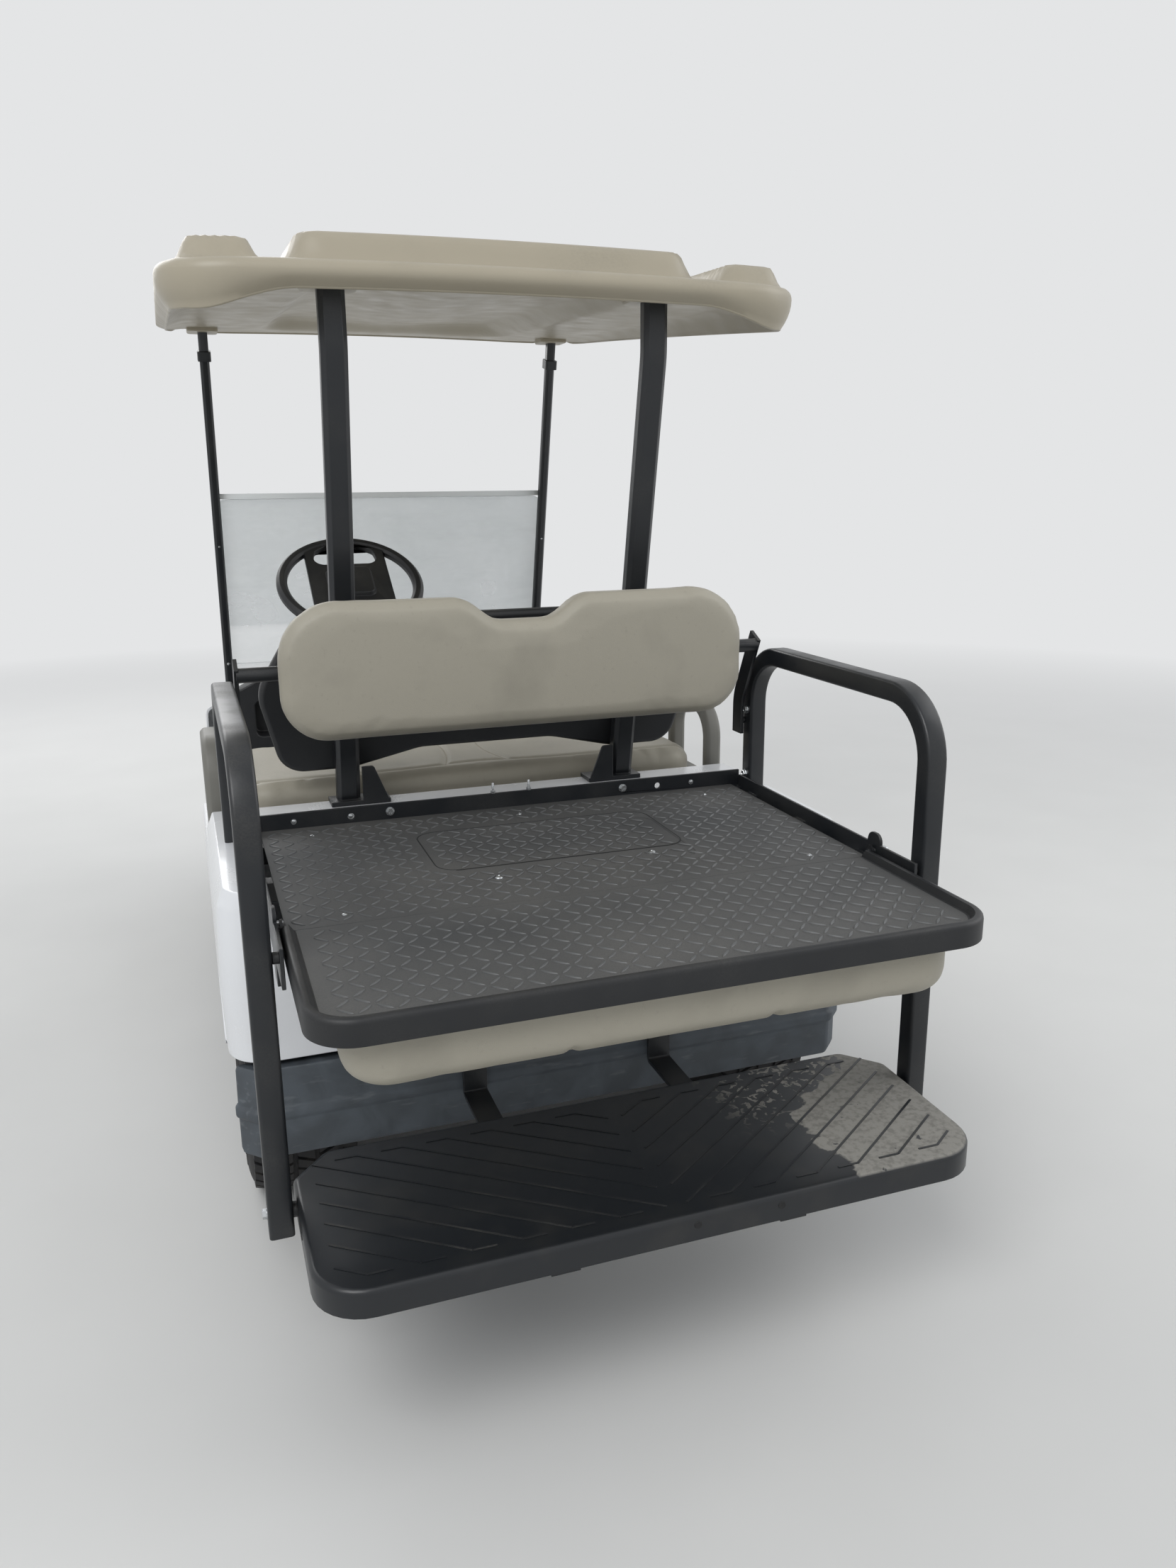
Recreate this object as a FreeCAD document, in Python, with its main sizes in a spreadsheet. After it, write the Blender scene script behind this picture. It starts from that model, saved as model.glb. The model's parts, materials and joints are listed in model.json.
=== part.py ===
"""Golf cart with a flip-over rear seat and cargo deck, as a parametric document in millimetres.

Frame: +Z up, the cart faces -Y, its left side is +X, origin on the floor under the middle of its box.
Every sub-part is a document object whose Label is its file name, and all sizes come from one spreadsheet.
"""
import FreeCAD, Part
import os
import re
import Sketcher
from FreeCAD import Placement, Rotation, Vector

# Driving dimensions in millimetres and degrees: alias, value
DIMENSIONS = [
    # wheels and axles
    ("wheelbase", 1640),
    ("rear_axle_y", 564),
    ("rear_tyre_inset", 19),
    ("front_tyre_inset", 40),
    ("tyre_radius", 228.5),
    ("tyre_width", 216),
    ("tyre_shoulder", 24),
    ("tyre_bevel", 10),
    ("tyre_bulge", 48),
    ("bead_radius", 101.6),
    ("rim_width", 184),
    ("rim_wall", 4),
    ("rim_lip", 7),
    ("rim_disc", 5),
    ("hub_radius", 38),
    ("hub_reach", 40),
    ("rim_dish", 24),
    ("vent_radius", 9),
    ("vent_circle", 66),
    ("spindle_radius", 16),
    ("spindle_reach", 36),
    ("bearing_play", 0.05),
    ("seat_gap", 0.3),
    ("king_pin_x", 310),
    ("king_pin_radius", 10),
    ("king_sleeve", 120),
    ("king_sleeve_radius", 18),
    ("steer_arm", 110),
    ("steer_arm_wide", 20),
    ("steer_arm_thick", 12),
    ("steer_arm_drop", 52),
    ("steer_eye", 14),
    ("tie_rod_radius", 7),
    ("tie_eye_height", 16),
    ("front_beam", 50),
    ("rear_tube_radius", 35),
    ("differential_radius", 92),
    ("motor_radius", 75),
    ("motor_drop", 36),
    ("drum_radius", 84),
    ("spring_leaf", 16),
    ("spring_width", 45),
    ("spring_camber", 5),
    ("front_spring_reach", 290),
    ("rear_spring_reach", 270),
    ("rear_spring_room", 52),
    ("leaf_step", 80),
    # chassis, floor and power block
    ("rail_x", 185),
    ("rail_width", 50),
    ("rail_height", 50),
    ("rail_base_z", 275),
    ("rail_front_y", -1380),
    ("rail_rear_y", 850),
    ("floor_sheet", 6),
    ("floor_inset", 14),
    ("floor_front_y", -742),
    ("outrigger_inset", 30),
    ("bumper_iron", 40),
    ("seat_base_y", -60),
    ("toe_top_y", -862),
    ("toe_top_z", 472),
    ("sill_drop", 46),
    ("battery_half", 330),
    ("battery_length", 320),
    ("battery_height", 255),
    # front body
    ("shell_wall", 6),
    ("arch_front", 320),
    ("arch_rear", 278),
    ("cowl_rear_y", -960),
    ("cowl_top_z", 782),
    ("cowl_half", 588),
    ("cowl_low_z", 330),
    ("cowl_shoulder_y", -1180),
    ("cowl_brow_y", -1350),
    ("wing_top_z", 600),
    ("wing_drop", 40),
    ("hood_inset", 210),
    ("hood_slope", 60),
    ("nose_y", -1440),
    ("lamp_radius", 62),
    ("lamp_x", 322),
    ("lamp_z", 492),
    ("lamp_dome", 10),
    ("bumper_base_z", 232),
    ("bumper_height", 172),
    ("bumper_bevel", 34),
    ("bumper_ridge", 14),
    ("ridge_depth", 5),
    ("bumper_round", 26),
    ("front_bumper_y", -1456),
    ("front_bumper_inset", 28),
    ("front_bumper_height", 96),
    ("dash_inset", 88),
    ("dash_depth", 88),
    ("dash_bin_tall", 110),
    ("dash_bin_deep", 70),
    ("dash_top_z", 822),
    ("dash_shoulder_z", 782),
    # rear body
    ("body_half_mid", 617),
    ("body_tumble", 19),
    ("body_tuck", 11),
    ("body_shoulder", 34),
    ("shoulder_inset", 6),
    ("body_skirt_z", 430),
    ("skirt_inset", 3),
    ("arch_lip", 10),
    ("arch_lip_deep", 14),
    ("body_top_z", 728),
    ("body_mid_z", 560),
    ("body_low_z", 292),
    ("body_rear_y", 884),
    ("body_corner", 70),
    ("pod_top_z", 652),
    ("pod_rear_y", 326),
    ("well_rim", 79),
    ("well_front_y", 545),
    ("well_rear_z", 676),
    ("rear_bumper_inset", 6),
    ("rear_bumper_y", 901),
    ("bumper_wall", 7),
    # seats
    ("cushion_inset", 64),
    ("cushion_front_y", -130),
    ("cushion_rear_y", 320),
    ("cushion_base_z", 672),
    ("cushion_thick", 96),
    ("seat_board", 15),
    ("lid_pin_y", -72),
    ("lid_pin_z", 664),
    ("lid_pin_radius", 5),
    ("lid_pin_x", 250),
    ("back_half", 492),
    ("back_shoulder", 86),
    ("back_low_z", 802),
    ("back_arch_z", 838),
    ("back_top_z", 1143),
    ("back_shell_thick", 22),
    ("back_pad_thick", 46),
    ("shell_bevel", 7),
    ("pad_bevel", 14),
    ("restraint_inset", 51),
    ("restraint_wide", 40),
    ("restraint_front_y", 50),
    ("restraint_rear_y", 300),
    ("restraint_top_z", 872),
    ("restraint_bar", 34),
    ("restraint_bevel", 8),
    # steering
    ("wheel_x", 224),
    ("wheel_y", -66),
    ("wheel_z", 1160),
    ("wheel_tilt", 34),
    ("wheel_ring", 163),
    ("wheel_grip", 13),
    ("wheel_plate", 16),
    ("wheel_plate_half", 97),
    ("wheel_window_half", 80),
    ("wheel_window_low", 71),
    ("horn_half", 56),
    ("horn_rise", 10),
    ("shaft_radius", 12),
    ("column_radius", 20),
    ("column_collar", 44),
    ("accelerator_x", 150),
    ("brake_x", 270),
    ("pedal_length", 105),
    ("pedal_lift", 44),
    # roof and its posts
    ("roof_half", 613),
    ("roof_rear_y", 664),
    ("roof_length", 1540),
    ("roof_edge_z", 1768),
    ("roof_skirt", 92),
    ("roof_front_skirt", 34),
    ("roof_corner", 130),
    ("roof_rise", 2),
    ("roof_wall", 6),
    ("roof_roll", 24),
    ("lip_width", 70),
    ("lip_run", 150),
    ("lip_bend", 80),
    ("field_slope", 25),
    ("field_margin", 58),
    ("side_pad_margin", 40),
    ("pad_height", 40),
    ("field_height", 48),
    ("field_half", 400),
    ("side_pad_inner", 462),
    ("side_pad_outer", 574),
    ("post_x", 315),
    ("post_wide", 50),
    ("post_deep", 38),
    ("post_foot_y", 352),
    ("post_top_y", 548),
    ("post_top_z", 1738),
    ("post_head", 98),
    ("post_plate", 10),
    ("gusset_inner", 228),
    ("gusset_play", 3),
    ("gusset_tall", 84),
    ("gusset_head", 26),
    ("strut_inset", 92),
    ("strut_wide", 25),
    ("strut_deep", 32),
    ("strut_foot_y", -944),
    ("strut_top_y", -688),
    ("strut_top_z", 1800),
    ("clamp_z", 1730),
    ("clamp_tall", 26),
    ("clamp_wall", 5),
    ("screen_overhang", 12),
    ("screen_lift", 10),
    ("screen_thick", 5),
    ("screen_fold_z", 1354),
    ("screen_flap", 385),
    ("screen_fold_gap", 8),
    # rear seat kit
    ("tube", 38),
    ("tube_edge", 7),
    ("hoop_inset", 54),
    ("hoop_front_y", 548),
    ("hoop_rear_y", 1197),
    ("hoop_top_z", 1036),
    ("hoop_bend", 112),
    ("upright_foot_z", 290),
    ("deck_z", 735),
    ("deck_sheet", 3),
    ("deck_play", 14),
    ("recess_left", 239),
    ("recess_right", 203),
    ("recess_front_y", 702),
    ("recess_rear_y", 979),
    ("recess_depth", 0.8),
    ("fold_y", 1092),
    ("fold_rise", 9),
    ("rim_rise", 12),
    ("tray_play", 5),
    ("tray_rear_y", 1456),
    ("tray_height", 42),
    ("tray_wall", 4),
    ("tray_corner", 72),
    ("ear_radius", 11),
    ("fold_pin_radius", 5),
    ("side_plate_room", 16),
    ("side_plate_low_z", 694),
    ("side_plate_top_z", 758),
    ("plate_thick", 6),
    ("front_rail_top_z", 767),
    ("kit_tube", 34),
    ("kit_leg_x", 300),
    ("kit_leg_setback", 72),
    ("rail_hole_radius", 6.5),
    ("rail_hole_pitch", 80),
    ("rail_hole_x", 255),
    ("flip_cushion_margin", 41),
    ("flip_cushion_thick", 116),
    ("flip_cushion_front_y", 1114),
    ("flip_cushion_rear_y", 1432),
    ("rear_back_margin", 60),
    ("rear_back_y", 612),
    ("rear_back_thick", 74),
    ("rear_back_low_z", 925),
    ("rear_back_top_z", 1197),
    ("rear_back_notch", 46),
    ("rear_back_bevel", 18),
    ("back_bar_radius", 14),
    ("arm_play", 4),
    ("arm_low_z", 850),
    ("arm_bend_z", 930),
    ("arm_top_z", 1076),
    ("arm_wide", 40),
    ("arm_thick", 8),
    ("step_front_y", 1084),
    ("step_rear_y", 1450),
    ("step_play", 6),
    ("step_nose", 56),
    ("step_top_z", 346),
    ("step_height", 44),
    ("step_corner", 80),
    ("step_sheet", 4),
    ("strap_wide", 45),
    ("strap_thick", 8),
]

doc = FreeCAD.newDocument("GolfCart")
sheet = doc.addObject("Spreadsheet::Sheet", "Sizes")
for row, (alias, size) in enumerate(DIMENSIONS, start=1):
    sheet.set(f"A{row}", alias)
    sheet.set(f"B{row}", str(size))
    sheet.setAlias(f"B{row}", alias)
doc.recompute()
NAMES = {alias for alias, size in DIMENSIONS}
nodes = []

# Places that follow from the driving dimensions
FRONT_AXLE_Y = "(rear_axle_y - wheelbase)"
REAR_TRACK = "(2 * (body_half_mid - rear_tyre_inset) - tyre_width)"
FRONT_TRACK = "(2 * (cowl_half - front_tyre_inset) - tyre_width)"
REAR_SPRING_X = "(body_half_mid - rear_tyre_inset - tyre_width - rear_spring_room)"
RAIL_TOP = "(rail_base_z + rail_height)"
FLOOR_TOP = f"({RAIL_TOP} + seat_gap + floor_sheet)"
FOLD_Z = "(deck_z + fold_rise)"
FLOOR_HALF = "(cowl_half - shell_wall - floor_inset)"
DASH_HALF = "(cowl_half - dash_inset)"
CUSHION_HALF = "(body_half_mid - cushion_inset)"
HOOP_X = "(body_half_mid - hoop_inset)"
HOOP_INNER = f"({HOOP_X} - tube / 2)"
SIDE_PLATE_X = f"({HOOP_INNER} - side_plate_room)"
TRAY_HALF = f"({SIDE_PLATE_X} - tray_play)"
ARM_X = f"({HOOP_INNER} - arm_play - arm_thick / 2)"
STEP_HALF = f"({HOOP_INNER} - step_play)"
STRUT_X = "(cowl_half - strut_inset)"
SCREEN_HALF = f"({STRUT_X} + screen_overhang)"
STRUT_FOOT_Z = "(dash_shoulder_z + seat_gap)"
STRUT_SLOPE = f"((strut_top_y - strut_foot_y) / (strut_top_z - {STRUT_FOOT_Z}))"
POST_FOOT_Z = "(body_top_z + seat_gap + post_plate / 2)"
POST_SLOPE = f"((post_top_y - post_foot_y) / (post_top_z - post_head - {POST_FOOT_Z}))"
SIDES = (("left", 1), ("right", -1))


def formula(text):
    """An expression with every size's name turned into its cell in the sheet."""
    return re.sub(r"[a-z_]+", lambda m: "Sizes." + m.group() if m.group() in NAMES else m.group(), str(text))


def number(text):
    """The value of an expression now, in millimetres or degrees."""
    return float(sheet.evalExpression(formula(text)))


def bind(thing, **properties):
    """Bind properties to expressions; a double underscore stands for a dot."""
    for name, text in properties.items():
        thing.setExpression(name.replace("__", "."), formula(text))


def place(thing, x=0, y=0, z=0):
    bind(thing, Placement__Base__x=x, Placement__Base__y=y, Placement__Base__z=z)


def spread(side, low, high):
    """An x range on the left, or its mirror on the right."""
    return (low, high) if side > 0 else (f"-({high})", f"-({low})")


def keep(thing, label):
    """Mark an object as a finished sub-part."""
    thing.Label = label
    nodes.append(thing)
    return thing


def box(x, y, z):
    """A block between low and high expressions on each axis."""
    thing = doc.addObject("Part::Box", "Block")
    for size, axis in (("Length", x), ("Width", y), ("Height", z)):
        bind(thing, **{size: f"({axis[1]}) - ({axis[0]})"})
    place(thing, x[0], y[0], z[0])
    return thing


TURNS = {"x": Rotation(Vector(0, 1, 0), 90), "y": Rotation(Vector(1, 0, 0), -90), "z": Rotation()}


def rod(axis, radius, start, length):
    """A round bar from a start point along +X, +Y or +Z."""
    thing = doc.addObject("Part::Cylinder", "Rod")
    thing.Placement = Placement(Vector(), TURNS[axis])
    bind(thing, Radius=radius, Height=length)
    place(thing, *start)
    return thing


def fuse(parts):
    thing = doc.addObject("Part::MultiFuse", "Union")
    thing.Shapes = parts
    return thing


def cut(base, tools):
    thing = doc.addObject("Part::Cut", "Difference")
    thing.Base = base
    thing.Tool = tools[0] if len(tools) == 1 else fuse(tools)
    return thing


def new_body(label):
    return doc.addObject("PartDesign::Body", label)


def outline(body, plane, offset, points, closed=True):
    """A sketch through corners (u, v) or (u, v, bend radius), each tied to the sheet.

    On the XY plane u, v are X, Y; on XZ they are X, Z with the normal to -Y; on YZ they are Y, Z.
    """
    sketch = body.newObject("Sketcher::SketchObject", "Outline")
    origin_plane = [f for f in body.Origin.OriginFeatures if f.Role == plane + "_Plane"][0]
    sketch.AttachmentSupport = [(origin_plane, "")]
    sketch.MapMode = "FlatFace"
    bind(sketch, AttachmentOffset__Base__z=offset)
    corners = [(number(p[0]), number(p[1])) for p in points]
    edges = len(points) if closed else len(points) - 1
    for i in range(edges):
        start, end = corners[i], corners[(i + 1) % len(points)]
        sketch.addGeometry(Part.LineSegment(Vector(*start, 0), Vector(*end, 0)))
    for i in range(edges if closed else edges - 1):
        sketch.addConstraint(Sketcher.Constraint("Coincident", i, 2, (i + 1) % edges, 1))
    for i, point in enumerate(points):
        edge, end = (i, 1) if i < edges else (i - 1, 2)
        for kind, text, size in zip(("DistanceX", "DistanceY"), point, corners[i]):
            index = sketch.addConstraint(Sketcher.Constraint(kind, -1, 1, edge, end, size))
            sketch.setExpression(f"Constraints[{index}]", formula(text))
    doc.recompute()
    for i, point in enumerate(points):
        if len(point) > 2:
            first_new = sketch.GeometryCount
            sketch.fillet((i - 1) % edges, 2, number(point[2]), True, True)
            arc = [g for g in range(first_new, sketch.GeometryCount)
                   if sketch.Geometry[g].TypeId == "Part::GeomArcOfCircle"][0]
            index = sketch.addConstraint(Sketcher.Constraint("Radius", arc, number(point[2])))
            sketch.setExpression(f"Constraints[{index}]", formula(point[2]))
    return sketch


def pad(body, plane, offset, points, length, middle=False, slope=None):
    """Extrude an outline along its plane's normal, or both ways from its middle, its sides leaning in if sloped."""
    sketch = outline(body, plane, offset, points)
    feature = body.newObject("PartDesign::Pad", "Pad")
    feature.Profile = sketch
    feature.Midplane = middle
    bind(feature, Length=length)
    if slope:
        bind(feature, TaperAngle=f"-{slope}")
    doc.recompute()
    return feature


def pocket(body, plane, offset, points, length, middle=False, slope=None):
    """Cut an outline out of the body along its plane's normal, narrowing if sloped."""
    sketch = outline(body, plane, offset, points)
    before = body.Shape.Volume
    feature = body.newObject("PartDesign::Pocket", "Pocket")
    feature.Profile = sketch
    feature.Midplane = middle
    feature.Reversed = not middle
    bind(feature, Length=length)
    if slope:
        bind(feature, TaperAngle=f"-{slope}")
    doc.recompute()
    if body.Shape.Volume > before - 1:
        raise ValueError(f"{body.Label}: a pocket cut nothing")
    return feature


def revolve(body, points):
    """Turn an outline on the XY plane about the body's X axis."""
    sketch = outline(body, "XY", 0, points)
    feature = body.newObject("PartDesign::Revolution", "Turned")
    feature.Profile = sketch
    feature.ReferenceAxis = (sketch, ["H_Axis"])
    feature.Angle = 360
    doc.recompute()
    return feature


def loft(body, plane, sections, subtract=False):
    """Loft through (offset, points) sections with straight rulings."""
    sketches = [outline(body, plane, offset, points) for offset, points in sections]
    feature = body.newObject("PartDesign::" + ("SubtractiveLoft" if subtract else "AdditiveLoft"), "Loft")
    feature.Profile = sketches[0]
    feature.Sections = sketches[1:]
    feature.Ruled = True
    doc.recompute()
    return feature


def pipe(body, path_offset, path, wide, deep, bevel=None):
    """Carry a level rectangle, bevelled at its edges, along a path in the YZ plane."""
    spine = outline(body, "YZ", path_offset, path, closed=False)
    y, z = path[0][0], path[0][1]
    corners = []
    for i, j, across_first in (("-", "-", False), ("+", "-", True), ("+", "+", False), ("-", "+", True)):
        edge_x, edge_y = f"{path_offset} {i} ({wide}) / 2", f"({y}) {j} ({deep}) / 2"
        inward_x, inward_y = ("+" if i == "-" else "-"), ("+" if j == "-" else "-")
        if bevel:
            pair = [(edge_x, f"{edge_y} {inward_y} {bevel}"), (f"{edge_x} {inward_x} {bevel}", edge_y)]
            corners += pair[::-1] if across_first else pair
        else:
            corners.append((edge_x, edge_y))
    section = outline(body, "XY", z, corners)
    feature = body.newObject("PartDesign::AdditivePipe", "Bar")
    feature.Profile = section
    feature.Spine = spine
    doc.recompute()
    return feature


def ease_edges(kind, body, size, test):
    """Fillet or chamfer the body's edges whose bounding box passes the test."""
    base = body.Tip
    names = [f"Edge{i}" for i, e in enumerate(base.Shape.Edges, start=1) if test(e.BoundBox)]
    feature = body.newObject("PartDesign::" + kind, kind)
    feature.Base = (base, names)
    bind(feature, **{"Radius" if kind == "Fillet" else "Size": size})
    doc.recompute()


def at(axis, *places):
    """A test for edges that lie in a plane across an axis at one of some places."""
    values = [number(p) for p in places]
    low, high = axis.upper() + "Min", axis.upper() + "Max"
    return lambda b: any(abs(getattr(b, low) - v) < 0.01 and abs(getattr(b, high) - v) < 0.01 for v in values)


def rectangle(u, v, bend=None):
    """Four corners between low and high expressions, with one bend radius if given."""
    extra = (bend,) if bend else ()
    return [(u[0], v[0]) + extra, (u[1], v[0]) + extra, (u[1], v[1]) + extra, (u[0], v[1]) + extra]


def mirrored(points):
    """Close a half outline given from the bottom middle outwards by its mirror about u = 0."""
    return points + [(f"-({p[0]})",) + tuple(p[1:]) for p in reversed(points)]


# Wheels
def tyre(label, x, y):
    body = new_body(label)
    half = "tyre_width / 2"
    profile = [("rim_width / 2", "bead_radius"), (half, "bead_radius + tyre_bulge"),
               (f"{half} - 3", "tyre_radius - tyre_shoulder - tyre_bevel"),
               (f"{half} - tyre_bevel", "tyre_radius - tyre_bevel"),
               (f"{half} - tyre_shoulder - tyre_bevel", "tyre_radius")]
    revolve(body, mirrored(profile))
    place(body, x, y, "tyre_radius")
    keep(body, label)


def rim(label, side, x, y):
    """Pressed steel wheel: barrel with lips, dished disc with vents in its flat ring, hub with a blind bore."""
    body = new_body(label)
    outer = "bead_radius - seat_gap"
    lip = "rim_width / 2 + 4 + seat_gap"
    barrel = [(f"{lip} + rim_wall", f"{outer} - rim_wall"), (f"{lip} + rim_wall", f"{outer} + rim_lip"),
              (lip, f"{outer} + rim_lip"), (lip, outer)]
    revolve(body, mirrored(barrel))
    bore = "spindle_radius + bearing_play"
    ring_low, ring_high = "vent_circle - vent_radius - 5", "vent_circle + vent_radius + 5"
    cap = "spindle_reach + 8"
    hub = [("-hub_reach", bore), ("-hub_reach", "hub_radius"), (10, "hub_radius"), ("rim_dish", ring_low),
           ("rim_dish", ring_high), ("rim_dish / 2", f"{outer} - rim_wall / 2"),
           ("rim_dish / 2 + rim_disc", f"{outer} - rim_wall / 2"), ("rim_dish + rim_disc", ring_high),
           ("rim_dish + rim_disc", ring_low), ("10 + rim_disc", "hub_radius - 2"),
           (cap, "hub_radius - 10"), (cap, 0), ("spindle_reach", 0), ("spindle_reach", bore)]
    revolve(body, hub)
    wide, narrow = "vent_radius", "vent_radius * 0.42"
    corners = [("+", wide, "-", narrow), ("+", wide, "+", narrow), ("+", narrow, "+", wide), ("-", narrow, "+", wide),
               ("-", wide, "+", narrow), ("-", wide, "-", narrow), ("-", narrow, "-", wide), ("+", narrow, "-", wide)]
    vent = pocket(body, "YZ", 0, [(f"vent_circle {i} {u}", f"{j} {v}") for i, u, j, v in corners], "rim_width", True)
    ring = body.newObject("PartDesign::PolarPattern", "Vents")
    ring.Originals = [vent]
    ring.Axis = (vent.Profile[0], ["N_Axis"])
    ring.Angle = 360
    ring.Occurrences = 8
    body.Tip = ring
    if side < 0:
        body.Placement = Placement(Vector(), Rotation(Vector(0, 0, 1), 180))
    place(body, x, y, "tyre_radius")
    doc.recompute()
    keep(body, label)


for end, track, axle in (("front", FRONT_TRACK, FRONT_AXLE_Y), ("rear", REAR_TRACK, "rear_axle_y")):
    for side_name, side in SIDES:
        tyre(f"tyre_{end}_{side_name}", f"{side} * {track} / 2", axle)
        rim(f"rim_{end}_{side_name}", side, f"{side} * {track} / 2", axle)


# Steered front axle
def front_axle():
    """Square beam ending in two forks, each with its king pin."""
    beam_end = "(king_pin_x - king_sleeve_radius - 7)"
    parts = [box((f"-{beam_end}", beam_end), (f"{FRONT_AXLE_Y} - front_beam / 2", f"{FRONT_AXLE_Y} + front_beam / 2"),
                 ("tyre_radius - front_beam / 2", "tyre_radius + front_beam / 2"))]
    fork = "(king_sleeve / 2 + seat_gap)"
    eye = "(king_pin_radius + 10)"
    for _, side in SIDES:
        parts.append(box(spread(side, f"{beam_end} - 8", beam_end), (f"{FRONT_AXLE_Y} - {eye}", f"{FRONT_AXLE_Y} + {eye}"),
                         (f"tyre_radius - {fork} - 12", f"tyre_radius + {fork} + 12")))
        for low in (f"tyre_radius + {fork}", f"tyre_radius - {fork} - 12"):
            parts.append(box(spread(side, f"{beam_end} - 8", "king_pin_x"),
                             (f"{FRONT_AXLE_Y} - {eye}", f"{FRONT_AXLE_Y} + {eye}"), (low, f"{low} + 12")))
            parts.append(rod("z", eye, (f"{side} * king_pin_x", FRONT_AXLE_Y, low), 12))
        parts.append(rod("z", "king_pin_radius", (f"{side} * king_pin_x", FRONT_AXLE_Y, f"tyre_radius - {fork} - 12"),
                         f"2 * {fork} + 24"))
    keep(fuse(parts), "front_axle")


def knuckle(side_name, side):
    """Sleeve on the king pin, spindle for the wheel and a steering arm to the rear."""
    pin = f"{side} * king_pin_x"
    hub_face = f"({FRONT_TRACK} / 2 - hub_reach - seat_gap)"
    arm_z = "(tyre_radius - steer_arm_drop)"
    parts = [
        rod("z", "king_sleeve_radius", (pin, FRONT_AXLE_Y, "tyre_radius - king_sleeve / 2"), "king_sleeve"),
        box(spread(side, "king_pin_x - steer_arm_wide / 2", "king_pin_x + steer_arm_wide / 2"),
            (FRONT_AXLE_Y, f"{FRONT_AXLE_Y} + steer_arm"), (arm_z, f"{arm_z} + steer_arm_thick")),
        rod("z", "steer_eye", (pin, f"{FRONT_AXLE_Y} + steer_arm", arm_z), "steer_arm_thick"),
    ]
    for radius, reach in (("spindle_radius + 7", hub_face), ("spindle_radius", f"{FRONT_TRACK} / 2 + spindle_reach - seat_gap")):
        low, high = spread(side, "king_pin_x", reach)
        parts.append(rod("x", radius, (low, FRONT_AXLE_Y, "tyre_radius"), f"({high}) - ({low})"))
    bore = rod("z", "king_pin_radius + bearing_play", (pin, FRONT_AXLE_Y, "tyre_radius - king_sleeve / 2"), "king_sleeve")
    keep(cut(fuse(parts), [bore]), f"knuckle_{side_name}")


def tie_rod():
    """Bar under the two steering arms, with an eye below each."""
    low = "(tyre_radius - steer_arm_drop - seat_gap - tie_eye_height)"
    y = f"({FRONT_AXLE_Y} + steer_arm)"
    parts = [rod("x", "tie_rod_radius", ("-king_pin_x", y, f"{low} + tie_eye_height / 2"), "2 * king_pin_x")]
    for _, side in SIDES:
        parts.append(rod("z", "steer_eye", (f"{side} * king_pin_x", y, low), "tie_eye_height"))
    keep(fuse(parts), "tie_rod")


# Rear axle with its differential and drive motor
def rear_axle():
    flange = f"({REAR_TRACK} / 2 - hub_reach - 14)"
    parts = [
        rod("x", "rear_tube_radius", (f"-{flange}", "rear_axle_y", "tyre_radius"), f"2 * {flange}"),
        rod("x", "differential_radius", (-62, "rear_axle_y", "tyre_radius"), 124),
        rod("x", "motor_radius", (60, "rear_axle_y + 92", "tyre_radius - motor_drop"), 210),
        box((30, 62), ("rear_axle_y", "rear_axle_y + 150"), ("tyre_radius - 90", "tyre_radius + 30")),
    ]
    for _, side in SIDES:
        for radius, start, end in (("drum_radius", f"{flange} - 8", flange),
                                   ("spindle_radius + 7", flange, f"{REAR_TRACK} / 2 - hub_reach - seat_gap"),
                                   ("spindle_radius", flange, f"{REAR_TRACK} / 2 + spindle_reach - seat_gap")):
            low, high = spread(side, start, end)
            parts.append(rod("x", radius, (low, "rear_axle_y", "tyre_radius"), f"({high}) - ({low})"))
    keep(fuse(parts), "rear_axle")


def springs():
    """Four slightly arched packs of three leaves lying on the axles, each leaf shorter than the one above."""
    leaves = []
    leaf = "spring_leaf / 3"
    for axle, seat, reach, x in (
            (FRONT_AXLE_Y, "tyre_radius + front_beam / 2 + seat_gap", "front_spring_reach", "rail_x"),
            ("rear_axle_y", "tyre_radius + rear_tube_radius + seat_gap", "rear_spring_reach", REAR_SPRING_X)):
        def on_arch(run, up):
            """Height of a point of the arch a run away from the axle."""
            return f"{seat} + spring_camber * ({run}) / {reach} + {up}"

        tip, second, third = reach, f"{reach} - leaf_step", f"{reach} - 2 * leaf_step"
        steps = [(third, on_arch(third, "0")), (third, on_arch(third, leaf)), (second, on_arch(second, leaf)),
                 (second, on_arch(second, f"2 * {leaf}")), (tip, on_arch(tip, f"2 * {leaf}")),
                 (tip, on_arch(tip, "spring_leaf"))]
        front = [(f"{axle} - ({run})", z) for run, z in reversed(steps)]
        rear = [(f"{axle} + ({run})", z) for run, z in steps]
        for _, side in SIDES:
            body = new_body("Leaves")
            pad(body, "YZ", f"{side} * {x}", front + [(axle, seat)] + rear + [(axle, f"{seat} + spring_leaf")],
                "spring_width", True)
            leaves.append(body)
    group = doc.addObject("Part::Compound", "Springs")
    group.Links = leaves
    keep(group, "leaf_springs")


front_axle()
for side_name, side in SIDES:
    knuckle(side_name, side)
tie_rod()
rear_axle()
springs()


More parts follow.
